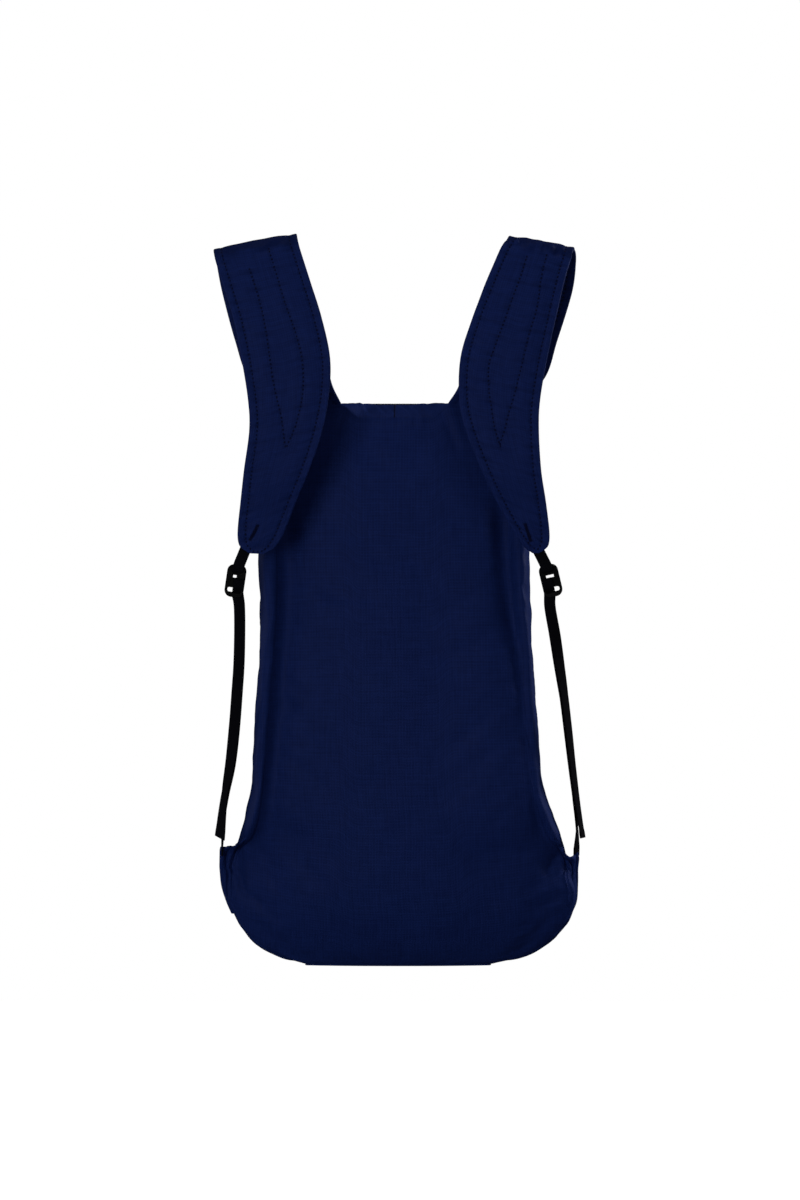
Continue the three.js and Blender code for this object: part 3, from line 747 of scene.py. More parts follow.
# %% Folds of the back panel
BACK_FOLDS = [
    # x and z of both ends, half width, depth towards the inside (a ridge is negative)
    (-136, -506, -128, -552, 5, 3.0), (-126, -500, -100, -540, 9, 1.5),
    (-118, -512, -106, -552, 4.5, -1.2), (-135.5, -527, -129, -545, 3, 2.6),
    (-129, -545, -114, -557, 3, 2.6), (-98, -492, -70, -500, 9, 1.2),
    (141, -513, 129, -530, 3.5, 4.5), (150, -509, 146, -530, 2.5, 4.0),
    (146, -526, 114, -543, 4, 1.5), (146, -547, 116, -563, 4, 1.4), (150, -557, 122, -577, 4, 1.2),
    (144, -537, 112, -553, 3.5, -0.8), (147, -552, 118, -570, 3.5, -0.8),
    (138, -502, 112, -520, 6, -1.5), (-88, -225, -92, -330, 11, 2.0),
    (-92, -330, -99, -400, 11, 2.0), (-99, -400, -109, -470, 10, 2.0),
    (88, -215, 97, -300, 9, 7.5), (97, -300, 107, -342, 8, 7.0), (107, -342, 112, -390, 7, 6.5),
    (112, -390, 118, -440, 7, 5.5), (118, -440, 125, -492, 6, 4.5), (-96, -380, -84, -392, 8, 1.2),
    (2, -136, 3, -147, 1.7, 0.9), (9, -136, 8, -150, 2.0, -0.8), (15, -136, 17, -148, 1.7, 0.9),
    (22, -136, 24, -150, 2.0, -0.8), (-14, -136, -15, -147, 2.0, 0.7),
    (-24, -134, -28, -148, 2.2, -0.7), (38, -132, 52, -168, 3.2, 1.4),
    (46, -132, 58, -162, 2.8, -1.1), (-40, -132, -50, -160, 3.0, 1.0),
    (-60, -340, 60, -347, 14, 0.9), (-70, -374, 50, -366, 12, -0.7),
    (-50, -400, 70, -409, 15, 0.8), (-80, -432, 40, -437, 14, -0.6),
]
EDGE_ROLLS = [
    # side, height, where it starts and is full beyond the back seam, then the stations where it
    # starts, is full, holds until and is gone
    (-1, 23, -11, 17, (1.5, 3.2, 8.4, 9.8)),
    (1, 14, -4, 17, (1.5, 3.2, 9.2, 10.4)),
    (1, 12, -85, -8, (1.0, 4.0, 11.0, 16.0)),
]
SEAM_EASE = 12
EASED_STATIONS = (1.5, 3, 8, 9.5)
ROLL_ENDS = (2, 2.9)


def edge_roll(q, t):
    """How far the cloth billows towards the wearer beside the back seams."""
    q = (q + 4) % 8 - 4
    k = np.abs(q)
    names = ("back", "wide", "y_back", "y_seam")
    back, wide, y_back, y_seam = (along(SECTIONS[name], t) for name in names)
    side_turn = np.clip(k - 1, 0, 1) * np.pi / 2
    beyond = np.where(k < 1, back * (k - 1), (wide - back) * np.sin(side_turn))
    roll = np.zeros(beyond.shape)
    for side, height, start, full, down in EDGE_ROLLS:
        rise = height * smooth(beyond, start, full) * plateau(t, *down)
        roll += np.where(side * q > 0, rise, 0)
    kink = PANEL_CURVE * (y_seam - y_back) / back * plateau(t, *EASED_STATIONS)
    ease = 0.5 * kink * np.abs(beyond) * np.exp(-(beyond / SEAM_EASE) ** 2)
    return (roll - ease) * (1 - smooth(k, *ROLL_ENDS))


print("folds:", len(BACK_FOLDS))

# %% The four walls
WALLS = [
    # node, q from and to, the seams there, step of the grid, folds
    ("back_panel", -1, 1, ("back_left", "back_right"), 2.4, BACK_FOLDS),
    ("front_panel", 3, 5, ("front_right", "front_left"), 3.2, ()),
    ("side_gusset_left", -3, -1, ("front_left", "back_left"), 2.8, BACK_FOLDS),
    ("side_gusset_right", 1, 3, ("back_right", "front_right"), 2.8, BACK_FOLDS),
]
WALL_RUN = 490
WIDE_STATION = 10.0
BASE_TURN = 0.7
CRUMPLE_HIGH = 0.3
CRUMPLE_LONG = 34
CALM_EDGE = 22
CALM_ENDS = (0, 0.8, LAST - 1.5, LAST)
FOLD_REACH = (1.1, 1.9)
VIEW_DISTANCE = -CAMERA_PLACE[1] / MM


def panel(node, plain, place, normal):
    """A panel of cloth in place of a node, cut to the size of its plain grid."""
    name = f"{node}_cloth"
    mesh = sheet_mesh(name, place, place - CLOTH * normal)
    declare_sheet(add_piece(name, mesh, NAVY_CLOTH, "ripstop", node), plain)


def wall_panel(node, q_from, q_to, seams, step, folds):
    """One wall of the bag between two seams, as a closed sheet."""
    width = run_along(bag_point(np.linspace(q_from, q_to, 200), WIDE_STATION))[-1]
    qs = np.linspace(q_from, q_to, int(width / step) + 1)
    ts = even_stations(bag_point, (q_from + q_to) / 2, LAST, int(WALL_RUN / step))
    q, t = np.meshgrid(qs, ts)
    plain = bag_point(q, t)
    normal = surface_normal(bag_point, q, t)
    normal[0] = rim_normal(qs)
    normal[-1] = unit(normal[-1] + np.array([0, 0, -BASE_TURN]))
    edge = np.minimum(q - q_from, q_to - q) * width / (q_to - q_from)
    free = smooth(edge, 0, CALM_EDGE) * plateau(t, *CALM_ENDS)
    relief = sewn(plain, *seams, "rim", "base", hem=True)
    relief += CRUMPLE_HIGH * free * crumple(plain, SEEDS["wall"], CRUMPLE_LONG)
    place = plain + slack(qs, ts) + normal * relief[..., None]
    reach = (1 - smooth(np.abs(q), *FOLD_REACH)) * (1 - smooth(t, LAST - 2, LAST))
    roll = edge_roll(q, t)
    place[..., 1] += folds_relief(folds, plain[..., 0], plain[..., 2]) * reach - roll
    # A rolled edge comes nearer to the viewer, so it is drawn in by the same share.
    place[..., 0] *= 1 - roll / VIEW_DISTANCE
    panel(node, plain, place, normal)


for wall in WALLS:
    wall_panel(*wall)

# %% The two top panels and the base
TOP_ROWS = 26
GATHER = 0.8
GATHER_LENGTHS = (7, 11, 18)
GATHER_SLANT = 0.5
CALM_CORNER = 0.3
LENS_END = 1.97
BASE_PROUD = 0.6


def top_panel(node, q_from, q_to, columns):
    """One crowned panel of the top, gathered a little between the rim and the zip."""
    qs = np.linspace(q_from, q_to, columns)
    q, w = np.meshgrid(qs, np.linspace(0, 1, TOP_ROWS))
    plain = top_point(q, w)
    normal = -surface_normal(top_point, q, w)
    normal[0] = rim_normal(qs)
    relief = sewn(plain, "zip", "zip", "rim", "zip")
    relief *= smooth(np.abs(q - q_from) * np.abs(q - q_to), 0, CALM_CORNER)
    slanted = plain[..., 0] + GATHER_SLANT * plain[..., 1]
    relief += GATHER * ripple(slanted, SEEDS["gather"], GATHER_LENGTHS) * np.sin(np.pi * w)
    place = plain + normal * relief[..., None]
    panel(node, plain, place, normal)
    return place


TOP_BACK = top_panel("top_panel_back", -2, 2, 161)
top_panel("top_panel_front", 2, 6, 121)


def lens_grid(line, columns, rows):
    """A grid over a closed outline, from its back half to its front half."""
    qs = np.linspace(-LENS_END, LENS_END, columns)
    back = line(qs)
    front = line(np.where(qs < 0, -4 - qs, 4 - qs))
    return mix(back, front, np.linspace(0, 1, rows)[:, None, None])


base_grid = lens_grid(lambda q: bag_point(q, LAST + 0 * q), 61, 15)
base_grid[..., 2] -= BASE_PROUD
base_mesh = sheet_mesh("base_panel_cloth", base_grid, base_grid + np.array([0, 0, CLOTH]))
base = add_piece("base_panel_cloth", base_mesh, NAVY_CLOTH, "ripstop", "base_panel")
print("base:", len(base_mesh.polygons), "faces")

# %% [markdown]
# ## Shoulder straps
#
# A strap is a thin foam pad between two cloths. Each is described by its two edges, from the seam
# at the bag's rim over the shoulder to the tip. The pad swells between the edge stitching and a
# sewn V, and the cloth sinks into both lines. It puckers beside them and crumples just below the
# shoulder's fold. An attribute paints shade into these hollows, the stitch lines and a band below
# the fold, darkening the cloth's colour where soft light alone would hardly show shade.

# %% Strap tables
STRAP_COLUMNS = "y x_out z_out x_in z_in"
STRAP_EDGES = {
    "left": table(STRAP_COLUMNS, [
        [32, -124.5, -107, -54.5, -109], [26, -135.5, -76, -58.5, -74], [19, -146, -36, -71, -29],
        [11, -150.8, -10, -80, 0], [0, -152, -3.4, -82, 9], [-10, -150.5, -11, -80, 0],
        [-17, -143.6, -33, -70.5, -30], [-22, -134.8, -62, -61, -60.5],
        [-25, -127.8, -95.5, -54, -94], [-26, -122.5, -129, -55, -125],
        [-25, -121.5, -154, -61, -156], [-22, -126, -187, -71.5, -187],
        [-16, -129, -212, -82, -212], [-9.5, -131.8, -237, -92, -237],
        [-7.5, -131, -248.5, -98.5, -249], [-6.5, -127, -253.5, -104, -254],
        [-6, -121.5, -256.5, -109.5, -257],
    ]),
    "right": table(STRAP_COLUMNS, [
        [32, 126.5, -108, 55, -111], [26, 137.5, -76, 60, -76], [19, 149.6, -36, 74, -34],
        [11, 152.6, -11, 89, 0], [0, 151, -2.2, 95, 7], [-10, 147.5, -10, 88.5, -1],
        [-17, 141, -32, 75.5, -32], [-22, 134, -62, 64, -62], [-25, 126.7, -95.5, 54.5, -94],
        [-26, 121, -129, 53.5, -129], [-25, 120, -154, 59, -154], [-22, 122, -187, 72, -187],
        [-16, 126, -212, 84, -212], [-9.5, 129.3, -237, 98, -237],
        [-7.5, 129, -248.5, 106, -248.5], [-6.5, 126, -253, 111, -253.5],
        [-6, 121.5, -256, 115.5, -256.5],
    ]),
}
SIDES = {"left": -1, "right": 1}
STRAP_SEAM = {"x_out": 101, "x_in": 45, "lift": 0.9, "back": 0.6}
SHOULDER = (100, 2, -70)
STRAP_V = {
    # stations t down the strap and shares w of its half width, 1 at the outer edge
    "left": [
        [(6.56, 0.29), (7.39, 0.29), (8.13, 0.32), (9.0, 0.36), (9.81, 0.32), (10.97, 0.07),
         (11.39, -0.08)],
        [(5.88, -0.29), (6.97, -0.28), (7.69, -0.27), (8.42, -0.33), (9.02, -0.36), (9.74, -0.36),
         (10.21, -0.32), (10.88, -0.24), (11.38, -0.13)],
    ],
    "right": [
        [(6.2, -0.2), (6.76, -0.17), (7.29, -0.18), (7.98, -0.21), (8.69, -0.26), (9.16, -0.32),
         (9.72, -0.27), (10.29, -0.21), (10.91, -0.2), (11.41, -0.16)],
        [(6.06, 0.31), (6.87, 0.38), (7.61, 0.48), (8.32, 0.46), (9.12, 0.44), (9.67, 0.38),
         (10.19, 0.28), (10.95, 0.08), (11.36, -0.15)],
    ],
}
STRAP_TACK = {"left": [(13.77, 0.19), (14.64, 0.42)], "right": [(13.73, -0.17), (14.74, -0.23)]}
print("strap rows:", {name: len(edges["y"]) for name, edges in STRAP_EDGES.items()})

# %% The strap's middle surface
def strap_surface(name):
    """The strap's middle surface as a function of w, across, and t, along."""
    side = SIDES[name]
    half = SECTIONS["back"][0]
    outer = bag_point(side * STRAP_SEAM["x_out"] / half, 0.0)
    inner = bag_point(side * STRAP_SEAM["x_in"] / half, 0.0)
    lift = STRAP_SEAM["lift"]
    seam = {
        "y": (outer[1] + inner[1]) / 2 + STRAP_SEAM["back"],
        "x_out": outer[0], "z_out": outer[2] + lift, "x_in": inner[0], "z_in": inner[2] + lift,
    }
    edges = STRAP_EDGES[name]
    columns = {key: np.concatenate([[seam[key]], edges[key]]) for key in edges}
    slant = (outer[1] - inner[1]) / 2

    def point(w, t):
        w, t = np.broadcast_arrays(np.asarray(w, float), np.asarray(t, float))
        s = {key: along(column, t) for key, column in columns.items()}
        share = (w + 1) / 2
        y = s["y"] + slant * w * (1 - smooth(t, 0, 3))
        x, z = (mix(s[f"{axis}_in"], s[f"{axis}_out"], share) for axis in "xz")
        return np.stack([x, y, z], -1)

    return point, len(columns["y"]) - 1


print("strap surfaces ready")

# %% Puckers, creases and painted shade of a strap
STITCH_IN = 6.7
PUCKER_FADE = 6
HEM_PUCKER, HEM_LENGTHS = 0.85, (5, 7.5, 12)
V_PUCKER, V_LENGTHS = 0.6, (5.5, 8, 13)
CROSS_HIGH, CROSS_LENGTHS, CROSS_SLANT, CROSS_CALM = 0.26, (6, 9, 15), 0.3, (0, 6)
PAD_HIGH, PAD_LONG, PAD_CALM = 0.32, 30, (0, 8)
FOLD_HIGH, FOLD_LONG, FOLD_BELOW, FOLD_HALF = 1.4, 10, 10, 4.5
FOLD_CALM, CALM_HALF = 0.85, 7
FOLD_BUMP, BUMP_ENDS = 2.2, (0.5, 3.5, 3.5, 14)
BAND_STARTS, BAND_ENDS, BAND_UNEVEN, BAND_LONG = (0, 2), (8, 16), 2.5, 14
# How much painted shade darkens the pucker valleys and the stitch grooves.
PUCKER_DARK, PUCKER_DARKEST, GROOVE_DARK, DARKEST = 0.9, 0.6, 0.3, 0.9


def strap_relief(side, middle, down, edge, sewn_v, below_fold):
    """A strap's puckers and soft waves in mm, and the painted shade of its hollows."""
    hem = ripple(down, SEEDS["strap_hem"] + side, HEM_LENGTHS)
    hem *= np.exp(-np.abs(edge - STITCH_IN) / PUCKER_FADE)
    v = ripple(down, SEEDS["strap_v"], V_LENGTHS) * np.exp(-sewn_v / PUCKER_FADE)
    calm = 1 - FOLD_CALM * np.exp(-(below_fold / CALM_HALF) ** 2)
    pucker = calm * (HEM_PUCKER * hem + V_PUCKER * v)
    soft = calm * PAD_HIGH * crumple(middle, SEEDS["strap_pad"] + side, PAD_LONG)
    soft *= smooth(edge, *PAD_CALM)
    near_fold = np.exp(-((below_fold - FOLD_BELOW) / FOLD_HALF) ** 2)
    soft += FOLD_HIGH * near_fold * crumple(middle, SEEDS["strap_fold"] + side, FOLD_LONG)
    soft += FOLD_BUMP * plateau(below_fold, *BUMP_ENDS)
    slanted = down + CROSS_SLANT * middle[..., 0]
    cross = ripple(slanted, SEEDS["strap_cross"] + side, CROSS_LENGTHS)
    soft += CROSS_HIGH * cross * smooth(edge, *CROSS_CALM)
    # Painted shade: a band below the fold and the pucker valleys are darkened in colour.
    uneven = below_fold + BAND_UNEVEN * crumple(middle, SEEDS["strap_band"], BAND_LONG)
    band = smooth(below_fold, *BAND_STARTS) * (1 - smooth(uneven, *BAND_ENDS))
    return pucker, soft, band + np.clip(-PUCKER_DARK * (hem + v), 0, PUCKER_DARKEST)


print("puckers:", HEM_PUCKER, "and", V_PUCKER, "mm")

# %% Padded straps
STRAP_PAD = 4.6
STRAP_HEM = 2.6
EDGE_ROUND = 1.3
GROOVE = 0.6
GROOVE_HALF = 1.2
V_GROOVE = 1.4
PAD_RISE = (STITCH_IN - 1, STITCH_IN + 10)
PAD_START = (0, 1.5)
TIP_EDGE = 0.6
LEAST_ROUND = 0.06
STRAP_FINE = (250, 45)
COLUMN_CROWD = np.pi / 2 * 0.94
CREST_STATION = 5.0


def distance_to(points, line):
    """The distance from every point of a grid to a dense line."""
    flat = points.reshape(-1, 3)
    near = np.full(len(flat), np.inf)
    for place in line:
        near = np.minimum(near, ((flat - place) ** 2).sum(-1))
    return np.sqrt(near).reshape(points.shape[:2])


def dense(pairs, count=120):
    """A smooth line through pairs of stations."""
    return along(np.array(pairs), np.linspace(0, len(pairs) - 1, count)).T


def build_strap(name):
    """A padded strap; gives back what its stitches need."""
    point, last = strap_surface(name)
    rows, columns = STRAP_FINE
    ts = even_stations(point, 0.0, last, rows)
    ws = np.sin(np.linspace(-1, 1, columns) * COLUMN_CROWD) / math.sin(COLUMN_CROWD)
    w, t = np.meshgrid(ws, ts)
    middle = point(w, t)
    normal = surface_normal(point, w, t, 0.05, 0.05)
    away = middle - np.array(SHOULDER) * [SIDES[name], 1, 1]
    normal *= np.sign((normal * away).sum(-1))[..., None]
    half = np.linalg.norm(point(1 + 0 * ts, ts) - point(-1 + 0 * ts, ts), axis=-1) / 2
    down = lengths(middle)[1]
    edge = np.minimum((1 - np.abs(w)) * half[:, None], down[-1:] - down + TIP_EDGE)
    rounding = np.sqrt(1 - (1 - np.clip(edge / EDGE_ROUND, LEAST_ROUND, 1)) ** 2)
    pad = smooth(edge, *PAD_RISE) * smooth(t, *PAD_START)
    v_lines = [point(*dense(line)[::-1]) for line in STRAP_V[name]]
    sewn_v = np.min([distance_to(middle, line) for line in v_lines], axis=0)
    groove = np.exp(-((edge - STITCH_IN) / GROOVE_HALF) ** 2)
    groove += V_GROOVE * np.exp(-(sewn_v / GROOVE_HALF) ** 2)
    below_fold = down - np.interp(CREST_STATION, ts, down[:, len(ws) // 2])
    pucker, soft, painted_shade = strap_relief(SIDES[name], middle, down, edge, sewn_v, below_fold)
    # Painted shade darkens the stitch grooves as well.
    painted_shade += GROOVE_DARK * np.minimum(groove, 1)
    thick = mix(STRAP_HEM, STRAP_PAD, pad)
    bulge = (thick / 2 - GROOVE * np.minimum(groove, V_GROOVE) + pucker) * rounding
    outer = middle + normal * (bulge + soft)[..., None]
    inner = middle - normal * (bulge - soft)[..., None]
    piece_name = f"shoulder_strap_{name}_pad"
    mesh = sheet_mesh(piece_name, outer, inner)
    # The painted shade goes on both faces as a point attribute read by the strap's material.
    dark = np.tile(np.clip(painted_shade, 0, DARKEST).ravel(), 2).astype(np.float32)
    mesh.attributes.new(PAINTED_SHADE_ATTRIBUTE, "FLOAT", "POINT").data.foreach_set("value", dark)
    piece = add_piece(piece_name, mesh, STRAP_CLOTH, "strap_cloth", f"shoulder_strap_{name}")
    print(piece_name, round(float(down[-1, len(ws) // 2])), "mm long,", len(mesh.polygons), "faces")
    return {"outer": outer, "inner": inner, "normal": normal, "ts": ts, "ws": ws, "half": half}


STRAPS = {name: build_strap(name) for name in SIDES}

# %% [markdown]
# ## Buckles and webbing
#
# A ladder lock hangs from each strap's tip by a doubled piece of webbing. The adjusting webbing
# comes up from a cloth wing at the bag's lower corner, turns through the lock's slots and hangs
# down again as a free tail with a folded end.

# %% Ladder locks
LOCKS = {
    "left": {"place": (-131.6, -1, -268.3), "tilt": 9, "web_shift": 2.6, "turn": 1},
    "right": {"place": (127.4, -1, -268.3), "tilt": -14, "web_shift": -2.6, "turn": -1},
}
LOCK_PITCH = math.radians(13)
LOCK_OUTLINE = (17.6, 2.2, -25.6, 5.8)
LOCK_SLOTS = [(9.0, -2.2, -4.8, 1.2), (12.8, -17.6, -21.8, 1.6)]
LOCK_THROAT = {"left": (-3.2, -0.3), "right": (-2.8, 4.2)}
THROAT_WIDE = 9.2
THROAT_LEVELS = (-6.7, -9.4, -12)
LOCK_THICK = 3.0
LOCK_BEVEL = 0.55
LOCK_SHARP = math.radians(40)
FOOT_CURL, FOOT_LEVELS = 1.3, (21, 25.6)
HEAD_CURL, HEAD_LEVELS = 0.5, (-1, 2)
INNER_SHARE = 0.84


def lock_frame(lock):
    """The lock's place and its directions across, to the back and up."""
    tilt, level = math.radians(lock["tilt"]), math.cos(LOCK_PITCH)
    up = np.array([math.sin(tilt) * level, -math.sin(LOCK_PITCH), math.cos(tilt) * level])
    across = unit(np.array([1.0, 0, 0]) - up * up[0])
    return np.array(lock["place"], float), np.stack([across, np.cross(up, across), up])


def rounded_outline(wide, high, low, corner, steps=7):
    """A rounded rectangle's points, anticlockwise."""
    turns = np.linspace(0, np.pi / 2, steps)
    points = []
    for k, (sx, z) in enumerate(((1, high), (-1, high), (-1, low), (1, low))):
        middle = np.array([sx * (wide / 2 - corner), z - corner if k < 2 else z + corner])
        turn = turns + k * np.pi / 2
        points.append(middle + corner * np.stack([np.cos(turn), np.sin(turn)], -1))
    return np.concatenate(points)


def throat_outline(name):
    """The middle slot: as wide as the webbing below, narrower above."""
    left, right = LOCK_THROAT[name]
    high, middle, low = THROAT_LEVELS
    shift = LOCKS[name]["web_shift"]
    half = THROAT_WIDE / 2
    steps = [(right, high), (left, high), (left, middle), (shift - half, middle)]
    steps += [(shift - half, low), (shift + half, low), (shift + half, middle), (right, middle)]
    return np.array(steps, float)


def evaluated_mesh(holder):
    """The mesh that an object shows; the object itself goes."""
    graph = bpy.context.evaluated_depsgraph_get()
    made = bpy.data.meshes.new_from_object(holder.evaluated_get(graph))
    bpy.data.objects.remove(holder)
    return made


def build_lock(name):
    """One ladder lock, cut flat as a curve and then bent and hung in place."""
    curve = bpy.data.curves.new(f"lock_{name}", "CURVE")
    curve.dimensions = "2D"
    curve.fill_mode = "BOTH"
    curve.extrude = LOCK_THICK / 2 - LOCK_BEVEL
    curve.bevel_depth = LOCK_BEVEL
    curve.bevel_resolution = 3
    curve.offset = -LOCK_BEVEL
    outlines = [rounded_outline(*size) for size in (LOCK_OUTLINE, *LOCK_SLOTS)]
    for points in [*outlines, throat_outline(name)]:
        spline = curve.splines.new("POLY")
        spline.points.add(len(points) - 1)
        spline.points.foreach_set("co", np.pad(points, ((0, 0), (0, 2))).ravel())
        spline.use_cyclic_u = True
    mesh = evaluated_mesh(link_object(f"lock_{name}", curve))
    across, up, front = vertex_places(mesh).T
    front = front + FOOT_CURL * smooth(-up, *FOOT_LEVELS) + HEAD_CURL * smooth(up, *HEAD_LEVELS)
    inside = across * LOCKS[name]["turn"] > 0
    across = np.where(inside, INNER_SHARE * across, across)
    place, axes = lock_frame(LOCKS[name])
    world = place + np.stack([across, -front, up], -1) @ axes
    mesh.vertices.foreach_set("co", (world * MM).ravel())
    mesh.shade_smooth()
    mesh.set_sharp_from_angle(angle=LOCK_SHARP)
    mesh.name = f"ladder_lock_{name}_plastic"
    add_piece(mesh.name, mesh, BUCKLE_PLASTIC, "buckle_plastic", f"ladder_lock_{name}")
    print(mesh.name, len(mesh.polygons), "faces")


for side_name in SIDES:
    build_lock(side_name)

# %% Ribbons
WEB_WIDE = 9.5
WEB_THICK = 1.2
WEB_POINTS = 20
WEB_SQUARE = (0.3, 0.5)
FOLD_SWELL = 0.9
FOLD_STEP = 0.8
CUT_SLOPE = {"webbing_left_tape": 0.35, "webbing_right_tape": 0.0}
KNOT_SPANS = (((0, 1), (1, 2), (2, 3)), ((0, 2), (1, 3)), ((1, 2),))


def curve_through(places, per_span):
    """A curve through places that neither loops nor overshoots, with the station of each point."""
    ends = np.concatenate([2 * places[:1] - places[1:2], places, 2 * places[-1:] - places[-2:-1]])
    points, stations = [], []
    for i in range(len(places) - 1):
        layer = ends[i:i + 4]
        steps = np.sqrt(np.linalg.norm(np.diff(layer, axis=0), axis=1))
        knots = np.concatenate([[0], steps.cumsum()])
        shares = np.linspace(0, 1, per_span, endpoint=i == len(places) - 2)
        s = mix(knots[1], knots[2], shares)[:, None]
        for spans in KNOT_SPANS:
            parts = [(s - knots[a]) / (knots[b] - knots[a]) for a, b in spans]
            layer = [mix(layer[k], layer[k + 1], part) for k, part in enumerate(parts)]
        points.append(layer[0])
        stations.append(i + shares)
    return np.concatenate(points), np.concatenate(stations)


def rounded(turn, power):
    """A sine or cosine drawn out towards a square."""
    return np.sign(turn) * np.abs(turn) ** power


def ribbon(name, stations, directions, per_span, node, folded=0.0):
    """Webbing through stations with directions across it; folded is the length of a doubled end."""
    places, at = curve_through(np.asarray(stations, float), per_span)
    directions = np.asarray(directions, float)
    i = np.minimum(at.astype(int), len(directions) - 2)
    tangent = unit(np.gradient(places, axis=0))
    across = mix(directions[i], directions[i + 1], (at - i)[:, None])
    across = unit(across - tangent * (across * tangent).sum(-1, keepdims=True))
    face = np.cross(tangent, across)
    run = run_along(places)
    turn = np.arange(WEB_POINTS) / WEB_POINTS * 2 * np.pi
    wide = rounded(np.cos(turn), WEB_SQUARE[0]) * WEB_WIDE / 2
    deep = np.tile(rounded(np.sin(turn), WEB_SQUARE[1]) * WEB_THICK / 2, (len(places), 1))
    if folded:
        fold = run[-1] - folded
        deep *= 1 + FOLD_SWELL * smooth(run, fold, fold + FOLD_STEP)[:, None]
    rings = places[:, None] + across[:, None] * wide[:, None] + face[:, None] * deep[..., None]
    if folded:
        cut = CUT_SLOPE[name] * smooth(run, fold, run[-1])[:, None] * wide
        rings += tangent[:, None] * cut[..., None]
    index = np.arange(rings[..., 0].size).reshape(rings.shape[:2])
    after = np.roll(index, -1, axis=1)
    quads = np.stack([index[:-1], after[:-1], after[1:], index[1:]], -1).reshape(-1, 4)
    faces = quads.tolist() + [index[0, ::-1].tolist(), index[-1].tolist()]
    uv = np.stack([np.tile(wide, len(run)), np.repeat(run, WEB_POINTS)], -1)
    mesh = smooth_mesh(name, rings.reshape(-1, 3), faces, uv)
    add_piece(name, mesh, BLACK_WEBBING, "webbing", node)
    print(name, round(float(run[-1])), "mm long")


print("webbing:", WEB_WIDE, "by", WEB_THICK, "mm")

# %% Webbing at the strap's tip
STRAP_END = [
    # lean towards the bag, depth, height, in the lock's own directions
    (9.4, 0.9, 20), (6.4, 0.7, 14), (4.2, 0.3, 9.4), (2.2, -1.0, 5.2), (0.6, -2.6, 1.6),
    (0.2, -2.8, -0.6), (0, -2.3, -2.5), (0, -1.1, -3.7), (0, 1.1, -3.7), (0, 2.3, -2.5),
    (0.2, 2.7, -0.6), (0.6, 2.7, 1.6), (2.2, 2.4, 5.2), (4.2, 2.2, 9.4), (6.4, 2.4, 14),
    (9.4, 2.6, 20),
]
STRAP_END_LEAN = 0.5


def in_lock(name, rows):
    """Stations in a lock's directions, and the direction across for each."""
    place, axes = lock_frame(LOCKS[name])
    return place + np.asarray(rows, float) @ axes, np.tile(axes[0], (len(rows), 1))


for side_name in SIDES:
    lean_share = STRAP_END_LEAN * LOCKS[side_name]["turn"]
    leaning = [(lean_share * lean, depth, height) for lean, depth, height in STRAP_END]
    tape = f"strap_end_webbing_{side_name}"
    ribbon(f"{tape}_tape", *in_lock(side_name, leaning), 6, tape)

# %% Adjusting webbing
RUN_COLUMNS = "x y z twist"
RUNS = {
    "left": table(RUN_COLUMNS, [
        [-131.2, 11, -300, 0], [-131.8, 22, -346, 0], [-133.8, 30, -374, 5],
        [-136.4, 39, -404.5, 12], [-139.8, 48, -435.5, 34], [-144, 55, -460, 58],
        [-146.6, 60, -480, 72], [-148.2, 65, -506.3, 82],
    ]),
    "right": table(RUN_COLUMNS, [
        [130.4, 11, -300, 2], [134.8, 17, -326, 15], [138.6, 24, -352, 36], [142.6, 32, -378, 52],
        [146.4, 40, -407, 54], [150.2, 49, -438, 60], [154.2, 57, -468, 62], [155.8, 63, -492, 80],
        [155.6, 67, -508, 58],
    ]),
}
TAILS = {"left": (-149.8, 55, -499, 25), "right": (160.4, 56, -499, 66)}
TAIL_APART = 1.8
TAIL_LOOSE = 30
INTO_WING = 8
FOLDED_END = 9
THROUGH_LOCK = [
    # depth and height in the lock's own directions
    (4.7, -22), (4.4, -16), (3.6, -12.4), (2, -10.3), (0, -9.8), (-2, -10.3), (-2.8, -12.2),
    (-2.8, -16), (-1.4, -18.4), (0.6, -20.1), (2.2, -21.7), (2.8, -23.6),
]


def twisted(rows, side, apart):
    """Stations and directions across of webbing that turns its face to the outside by twist."""
    x, y, z, twist = np.asarray(rows, float).T
    twist = np.radians(twist)
    face = np.stack([side * np.sin(twist), -np.cos(twist), 0 * twist], -1)
    across = np.stack([np.cos(twist), side * np.sin(twist), 0 * twist], -1)
    return np.stack([x, y, z], -1) + apart * face, across


def build_webbing(name):
    """Webbing from inside the wing up to the lock, through it and down again to its free end."""
    side = SIDES[name]
    rows = np.stack(list(RUNS[name].values()), -1)
    sunk = rows[-1].copy()
    sunk[:3] += unit(rows[-1, :3] - rows[-2, :3]) * INTO_WING
    up = twisted([sunk, *rows[::-1]], side, 0)
    shift = LOCKS[name]["web_shift"]
    turn = in_lock(name, [(shift, depth, height) for depth, height in THROUGH_LOCK])
    beside = twisted(rows[rows[:, 2] > TAILS[name][2] + TAIL_LOOSE], side, TAIL_APART)
    end = twisted([TAILS[name]], side, 0)
    stations, across = (np.concatenate(parts) for parts in zip(up, turn, beside, end))
    ribbon(f"webbing_{name}_tape", stations, across, 8, f"webbing_{name}", FOLDED_END)


for side_name in SIDES:
    build_webbing(side_name)

# %% [markdown]
# ## Wings
#
# A wing is a doubled, pleated tab of cloth between the bag's lower corner and the end of the
# webbing. It starts at the back seam, so its pleats run on into the back panel. Its cut has a
# turned hem.

